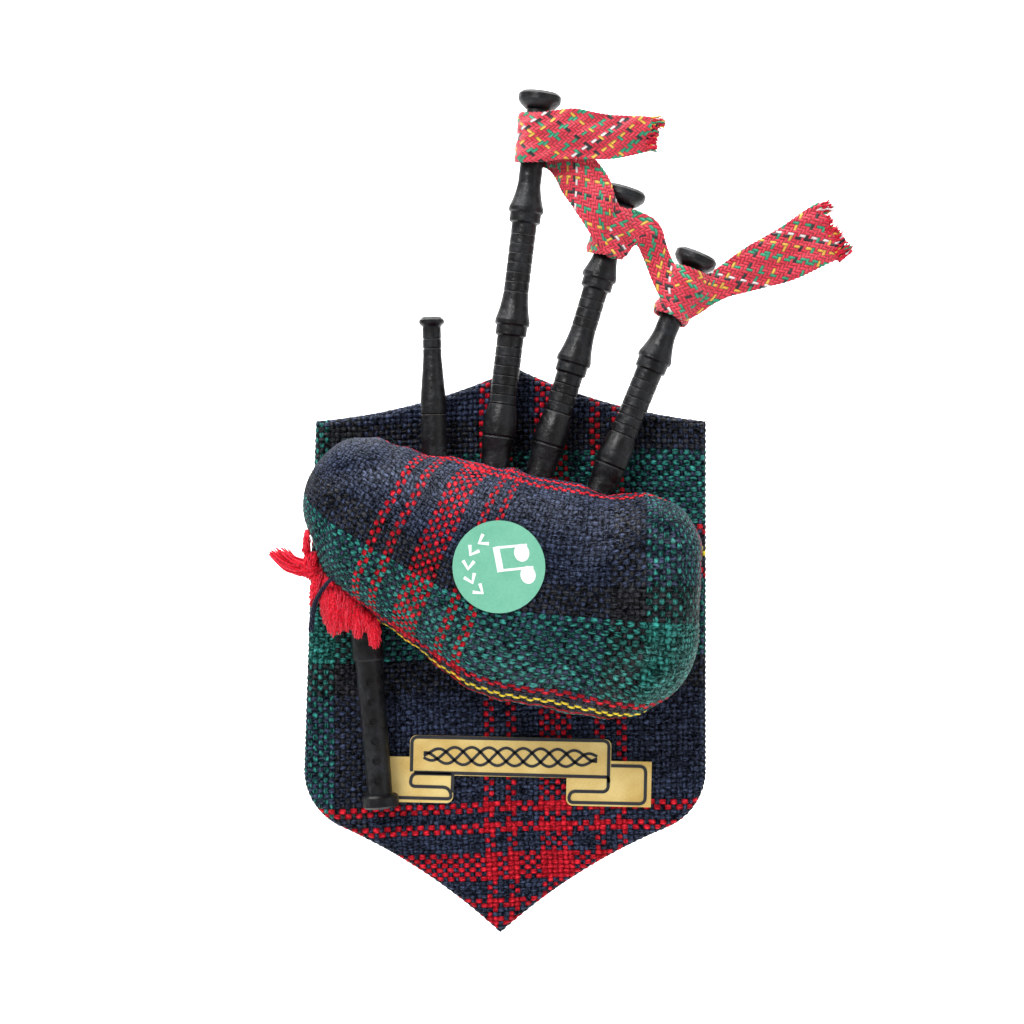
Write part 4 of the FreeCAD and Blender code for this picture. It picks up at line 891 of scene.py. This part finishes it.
def fringe(wool):
    """A brush of red wool from the seam at the bag's lower left: soft tufts of many crimped fibres. Each tuft widens
    from its root to a rounded end, where a fibre r from the middle reaches sqrt(1 - 0.6 r^2) of the length."""
    tufts = [  # root (x, z), end (x, z), half widths at root and end, fibres
        ((-29.3, 18.6), (-29.5, 14.3), 0.3, 0.5, 50),
        ((-28.7, 15.4), (-29.0, 11.2), 0.8, 1.2, 150),
        ((-27.4, 12.9), (-28.5, 7.0), 0.7, 0.8, 120),
        ((-25.9, 12.2), (-26.4, 5.0), 0.9, 1.2, 220),
        ((-24.7, 11.0), (-25.3, 3.0), 1.0, 1.8, 420),
        ((-23.2, 9.6), (-23.4, 3.6), 1.0, 1.5, 300),
        ((-21.9, 8.4), (-21.7, 2.5), 0.9, 1.1, 240),
        ((-20.6, 7.0), (-20.5, 3.4), 0.8, 0.9, 130),
        ((-19.4, 5.9), (-19.3, 1.0), 0.6, 0.9, 180),
        ((-27.0, 12.6), (-30.8, 12.6), 0.7, 1.0, 130),
    ]
    steps = 11
    t = np.linspace(0, 1, steps)
    lines, sizes, shades = [], [], []
    for root, end, root_half, end_half, count in tufts:
        start, end = np.array([root[0], -13.6, root[1]]), np.array([end[0], -13.9, end[1]])
        out, side, front = end - start, unit(np.array([start[2] - end[2], 0, end[0] - start[0]])), np.array([0, -1, 0])
        a, r = RNG.uniform(0, 2 * math.pi, (count, 1)), np.sqrt(RNG.uniform(0, 1, (count, 1)))
        half = root_half + (end_half - root_half) * np.sin(t * math.pi * 0.5)
        crimp = RNG.uniform(0, 6.3, (count, 1))
        reach = t * np.sqrt(1 - 0.6 * r ** 2) * RNG.uniform(0.86, 1.05, (count, 1))
        across = r * np.cos(a) * half + 0.12 * np.sin(t * RNG.uniform(9, 26, (count, 1)) + crimp)
        deep = r * np.sin(a) * half * 0.85 + 0.12 * np.cos(t * RNG.uniform(9, 22, (count, 1)) + crimp)
        across = across + RNG.normal(0, 0.16, (count, 1)) * t ** 2
        lines.append(start + out * reach[..., None] + side * across[..., None]
                     + front * (deep + 1.5 * np.sin(math.pi * (0.1 + 0.75 * t)))[..., None])
        sizes.append(np.broadcast_to(0.15 * (1 - 0.5 * t ** 3), (count, steps)) * RNG.uniform(0.4, 1.15, (count, 1)))
        shades.append(RNG.uniform(0, 1, count))
    made = loose_ends("wool_brush", np.concatenate(lines), np.concatenate(sizes), np.concatenate(shades), wool)
    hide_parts("wool_fringe")


def stray_ends(wool):
    """The longer ends: a red tuft that sticks out on the left, and a navy end that strays down over the red."""
    steps = np.linspace(0, 1, 5)
    count = 110
    spine = np.array([(-27.4, -13.8, 12.9), (-29.8, -14.0, 12.7), (-31.6, -14.0, 13.1), (-33.2, -13.8, 14.2),
                      (-34.3, -13.6, 15.2)])
    around = RNG.normal(0, 1, (count, 1, 3)) * (0.55 - 0.2 * steps ** 2)[None, :, None]
    around = around + RNG.normal(0, 0.08, (count, 5, 3))
    ends = spine - np.array([1.0, 0, 0]) * RNG.uniform(-1.6, 0.4, (count, 1, 1)) * steps[None, :, None]
    line = smooth_lines(*(ends + around))
    radii = np.broadcast_to(0.15 * (1 - 0.4 * np.linspace(0, 1, line.shape[1]) ** 2), line.shape[:2])
    loose_ends("wool_tuft", line, radii, RNG.uniform(0, 1, count), wool)
    middle = smooth_lines(np.array([(-22.6, -20.3, 13.2), (-25.4, -18.0, 11.8), (-27.5, -15.6, 9.2),
                                    (-28.4, -15.2, 7.2), (-28.8, -14.6, 3.6)]))[0]
    turn = np.linspace(0, 34, len(middle)) + 2 * math.pi * np.arange(4)[:, None] / 4
    spin = np.stack([np.cos(turn), np.sin(turn), 0.4 * np.sin(turn)], -1)
    strays = middle + spin * np.linspace(0.14, 0.3, len(middle))[:, None]
    navy = loose_yarn("stray_navy_yarn", ["#1A2036", "#222A44"], 0.8)
    loose_ends("stray_navy_ends", strays, np.full(strays.shape[:2], 0.17), np.zeros(4), navy)


def fibre_fuzz():
    """Fine hairs that the cloth has shed: short, curved and nearly unseen, on the bag's front and the plaque's rim."""
    count, steps = 380, 6
    t = np.linspace(0, 1, steps)
    u, v = RNG.uniform(44, 140, count), RNG.uniform(GREEN_START - 34, GREEN_START + 22, count)
    foot, past = bag_surface(u[:, None], v[:, None])
    foot = foot[:, 0]
    clear = np.hypot(foot[:, 0] - BUTTON[0], foot[:, 2] - BUTTON[1]) > 8.5
    shown = (past[:, 0] < -7) & clear
    foot = foot[shown]
    out = unit(foot - np.array([0.0, -14.0, 11.0]))
    rim = shield_outline()
    rim = rim[RNG.integers(0, len(rim), 260)] + RNG.normal(0, 0.5, (260, 2))
    rim_foot = np.stack([rim[:, 0], RNG.uniform(-5.3, -3.4, 260), rim[:, 1]], -1)
    foot = np.vstack([foot, rim_foot])
    out = np.vstack([out, unit(rim_foot - np.array([0.0, -2.0, 0.0]))])
    way = unit(RNG.normal(0, 1, foot.shape) + out * 0.6)
    turn = unit(RNG.normal(0, 1, foot.shape))
    long = RNG.uniform(0.5, 2.2, (len(foot), 1, 1))
    lines = (foot[:, None] + way[:, None] * long * t[None, :, None]
             + (turn[:, None] * 0.45 + out[:, None] * 0.35) * long * np.sin(math.pi * t * 0.9)[None, :, None] * 0.6)
    low = RNG.uniform(0.012, 0.03, (len(foot), 1)) * (1 - 0.4 * t)
    hairs = loose_yarn("shed_acrylic_fibres", ["#20263A", "#2A3644", "#1A4A44", "#3E4654"], 0.7)
    loose_ends("shed_fibres", lines, low, RNG.uniform(0, 1, len(foot)), hairs, along=0.0)


# ---- the scroll label and the press label ----


def raised_line(strokes, width, place, height=0.06, lift=0.0):
    """Printed line work that stands a little proud. Each stroke is a list of (right, up) in millimetres, and place
    turns (right, up, out) into the row's frame. The section is a low box of that width."""
    points, faces, at = [], [], 0
    for stroke in strokes:
        line = np.array(stroke, float)
        way = unit(np.gradient(line, axis=0))
        side = np.stack([-way[:, 1], way[:, 0]], -1) * width / 2
        left, right = line + side, line - side
        out = [np.column_stack([edge, np.full(len(line), level)])
               for edge, level in ((left, lift - 0.05), (left, lift + height), (right, lift + height),
                                   (right, lift - 0.05))]
        ring = np.stack(out, 1)
        count = len(line)
        points.append(ring.reshape(-1, 3))
        ends = np.array([[3, 2, 1, 0], [(count - 1) * 4 + k for k in range(4)]])
        faces.append(np.vstack([grid_faces(count, 4, round_cols=True), ends]) + at)
        at += count * 4
    return place(np.vstack(points)), np.vstack(faces)


def rounded(*corners, radius=0.9, closed=False):
    """A stroke through corners, each turned with a small arc: a quadratic curve that starts and ends radius away."""
    c = np.array(corners, float)
    out = [c[0]]
    t = np.linspace(0, 1, 9)[:, None]
    for a, b, d in zip(c, c[1:], c[2:]):
        r = min(radius, np.linalg.norm(b - a) / 2, np.linalg.norm(d - b) / 2)
        start, end = b + unit(a - b) * r, b + unit(d - b) * r
        out.extend((1 - t) ** 2 * start + 2 * t * (1 - t) * b + t ** 2 * end)
    out.append(c[-1])
    return np.array(out)


def on_scroll(p):
    """(right, up, out) on the scroll label's face to the row's frame."""
    tilt = math.radians(1.2)
    return np.column_stack([
        0.83 + p[:, 0] * math.cos(tilt) + p[:, 1] * math.sin(tilt),
        -(6.1 + p[:, 2]),
        -15.94 - p[:, 0] * math.sin(tilt) + p[:, 1] * math.cos(tilt),
    ])


def scroll_print():
    """The scroll's outlines and folds, and a plait in place of lettering: three strands that cross in turn."""
    outlines = [
        rounded((-15.0, -2.5), (-15.0, 2.75), (14.95, 2.75), (14.95, -5.0), (9.2, -5.0), (8.9, -6.7), (20.6, -6.7),
                (20.6, -1.0), (15.3, -1.0), radius=1.0),
        rounded((-14.6, -2.6), (15.0, -2.75), (15.0, -3.6), radius=0.7),
        rounded((-8.9, -2.8), (-14.9, -2.8), (-15.2, -4.75), (-9.3, -4.8), (-8.7, -6.55), (-20.2, -6.5), radius=0.9),
        rounded((-8.7, -2.8), (-8.75, -5.6)),
    ]
    points, faces = raised_line(outlines, 0.5, on_scroll)
    t = np.linspace(-13.2, 13.2, 170)
    plait = [np.column_stack([t, 1.35 * np.sin(t * 0.8 + phase) * (1 - (np.abs(t) / 14.0) ** 6)])
             for phase in (0.0, 2.094, 4.189)]
    more, more_faces = raised_line(plait, 0.44, on_scroll, lift=-0.01)
    ink = plain_finish("black_screen_ink", "#17181C", "#26282E", 0.2, 0.5, 0.02)
    made = piece("scroll_line_work", np.vstack([points, more]), np.vstack([faces, more_faces + len(points)]), ink,
                 smooth=False)


def on_button(p):
    """(right, up, out) on the press label's face to the row's frame."""
    return np.column_stack([BUTTON[0] + p[:, 0], -(29.75 + p[:, 2]), BUTTON[1] + p[:, 1]])


def disc(x, y, a, b, turn, count=24):
    """A filled ellipse as a fan of quads, with the half sizes a and b."""
    angle = np.linspace(0, 2 * math.pi, count, endpoint=False)
    turn = math.radians(turn)
    rim = np.stack([np.cos(angle) * a, np.sin(angle) * b], -1)
    rim = rim @ np.array([[math.cos(turn), math.sin(turn)], [-math.sin(turn), math.cos(turn)]])
    return np.vstack([rim * 0, rim * 0.5, rim]) + (x, y)


def press_print():
    """White print: a pair of joined notes lying on their side, and five chevrons round the left of the label."""
    parts, part_faces, at = [], [], 0

    def add(points, faces):
        nonlocal at
        parts.append(points)
        part_faces.append(faces + at)
        at += len(points)

    add(*raised_line([[(-0.5, 2.7), (4.0, 3.12)]], 0.36, on_button, 0.02))
    add(*raised_line([[(0.1, -0.55), (4.9, -0.05)]], 0.36, on_button, 0.025))
    add(*raised_line([[(-0.42, 2.86), (-0.08, 1.1), (0.26, -0.72)]], 0.92, on_button, 0.03))
    for x, z in ((3.25, 2.0), (4.15, -1.15)):
        rim = disc(x, z, 1.28, 1.08, -78)
        add(on_button(np.column_stack([rim, np.full(len(rim), 0.035)])), grid_faces(3, 24, round_cols=True))
    for angle in (122, 149, 176, 203, 230):
        a = math.radians(angle)
        out, side = np.array([math.cos(a), math.sin(a)]), np.array([-math.sin(a), math.cos(a)])
        middle = out * 4.35
        add(*raised_line([np.array([middle - side * 0.55 + out * 0.8, middle + side * 0.6,
                                    middle - side * 0.55 - out * 0.8])], 0.5, on_button, 0.02))
    white = plain_finish("white_label_ink", "#E8EEEB", "#F6F8F7", 0.2, 0.55, 0.01)
    made = piece("press_print", np.vstack(parts), np.vstack(part_faces), white, body="button", smooth=False)


def wound_spring():
    """The return spring, x = 3.9 cos a, z = 3.9 sin a, wound 3.5 times between the case and the press button's cap,
    which it shortens with."""
    low, high, wire = 22.1 + 0.2, 27.2 - 0.2, 0.19
    a = np.linspace(0, 3.5 * 2 * math.pi, 320)
    line = np.stack([BUTTON[0] + 3.9 * np.cos(a), -(low + (high - low) * a / a[-1]), BUTTON[1] + 3.9 * np.sin(a)], -1)
    points, faces = strands(line[None], np.full((1, 320), wire), sides=12)
    wire_steel = plain_finish("drawn_spring_steel", "#A9A9A6", "#C4C4C2", 0.1, 0.3, 0.01, Metallic=1.0)
    spring = piece("wound_spring", points, faces, wire_steel, body=None)
    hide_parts("return_spring")
    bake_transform(spring)


# ---- the CAD pieces' finishes ----


# The plain finishes: (pieces, material, two colours, grain in mm, roughness, bump in mm, metallic).
PLAIN_PIECES = [
    (["press_label"], "mint_label_paper", "#4F9C80", "#80C4A9", 0.4, 0.5, 0.015, 0.0),
    (["magnet_sheet"], "ferrite_rubber", "#2A2522", "#3A3431", 0.35, 0.7, 0.04, 0.0),
    (["back_liner"], "fibre_liner", "#1B1B1D", "#29292C", 0.3, 0.85, 0.05, 0.0),
    (["shield_board"], "pressed_greyboard", "#8D8172", "#A39786", 0.4, 0.9, 0.06, 0.0),
    (["press_button", "module_front_case", "module_back_case"],
     "moulded_abs", "#D9D8D2", "#E4E3DD", 0.3, 0.45, 0.01, 0.0),
    (["circuit_card"], "solder_mask", "#1B5A2C", "#226A36", 0.2, 0.4, 0.01, 0.0),
    (["contact_dome"], "pressed_steel", "#B5B4B0", "#C9C8C4", 0.15, 0.3, 0.01, 1.0),
    (["sound_chip"], "black_epoxy", "#0F0F10", "#18181A", 0.3, 0.25, 0.01, 0.0),
    (["sounder_disc"], "sounder_brass", "#C39A45", "#D4AE5C", 0.2, 0.35, 0.01, 1.0),
    (["sounder_leads"], "lead_cover", "#B01A18", "#C22522", 0.2, 0.5, 0.01, 0.0),
    (["button_cells"], "plated_cells", "#C4C4C2", "#D2D2D0", 0.2, 0.25, 0.01, 1.0),
    (["cell_strip_front", "cell_strip_back"], "plated_strip", "#BDBBB2", "#CDCBC3", 0.2, 0.3, 0.01, 1.0),
]


def dress_cad_pieces():
    finishes = [(["bass_drone", "middle_drone", "outer_drone", "blowpipe", "chanter"], moulded_polystyrene()),
                (["scroll_label"], gold_foil())]
    finishes += [(pieces, plain_finish(*look, Metallic=metallic)) for pieces, *look, metallic in PLAIN_PIECES]
    for pieces, finish in finishes:
        for name in pieces:
            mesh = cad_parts[name].data
            mesh.materials.clear()
            mesh.materials.append(finish)


# ---- the whole scene ----

shown_from()
drone_braid()
studio()
SWELL = swelling()
TARTAN = tartan_cloth("woven_acrylic_tartan")
shield_cloth(TARTAN)
bag_cloth(TARTAN)
WOOL = loose_yarn("brushed_acrylic_yarn", ["#E8142F", "#F0283F", "#DC0E28", "#F23A50"], 0.8)
fringe(WOOL)
stray_ends(WOOL)
fibre_fuzz()
scroll_print()
press_print()
wound_spring()
dress_cad_pieces()
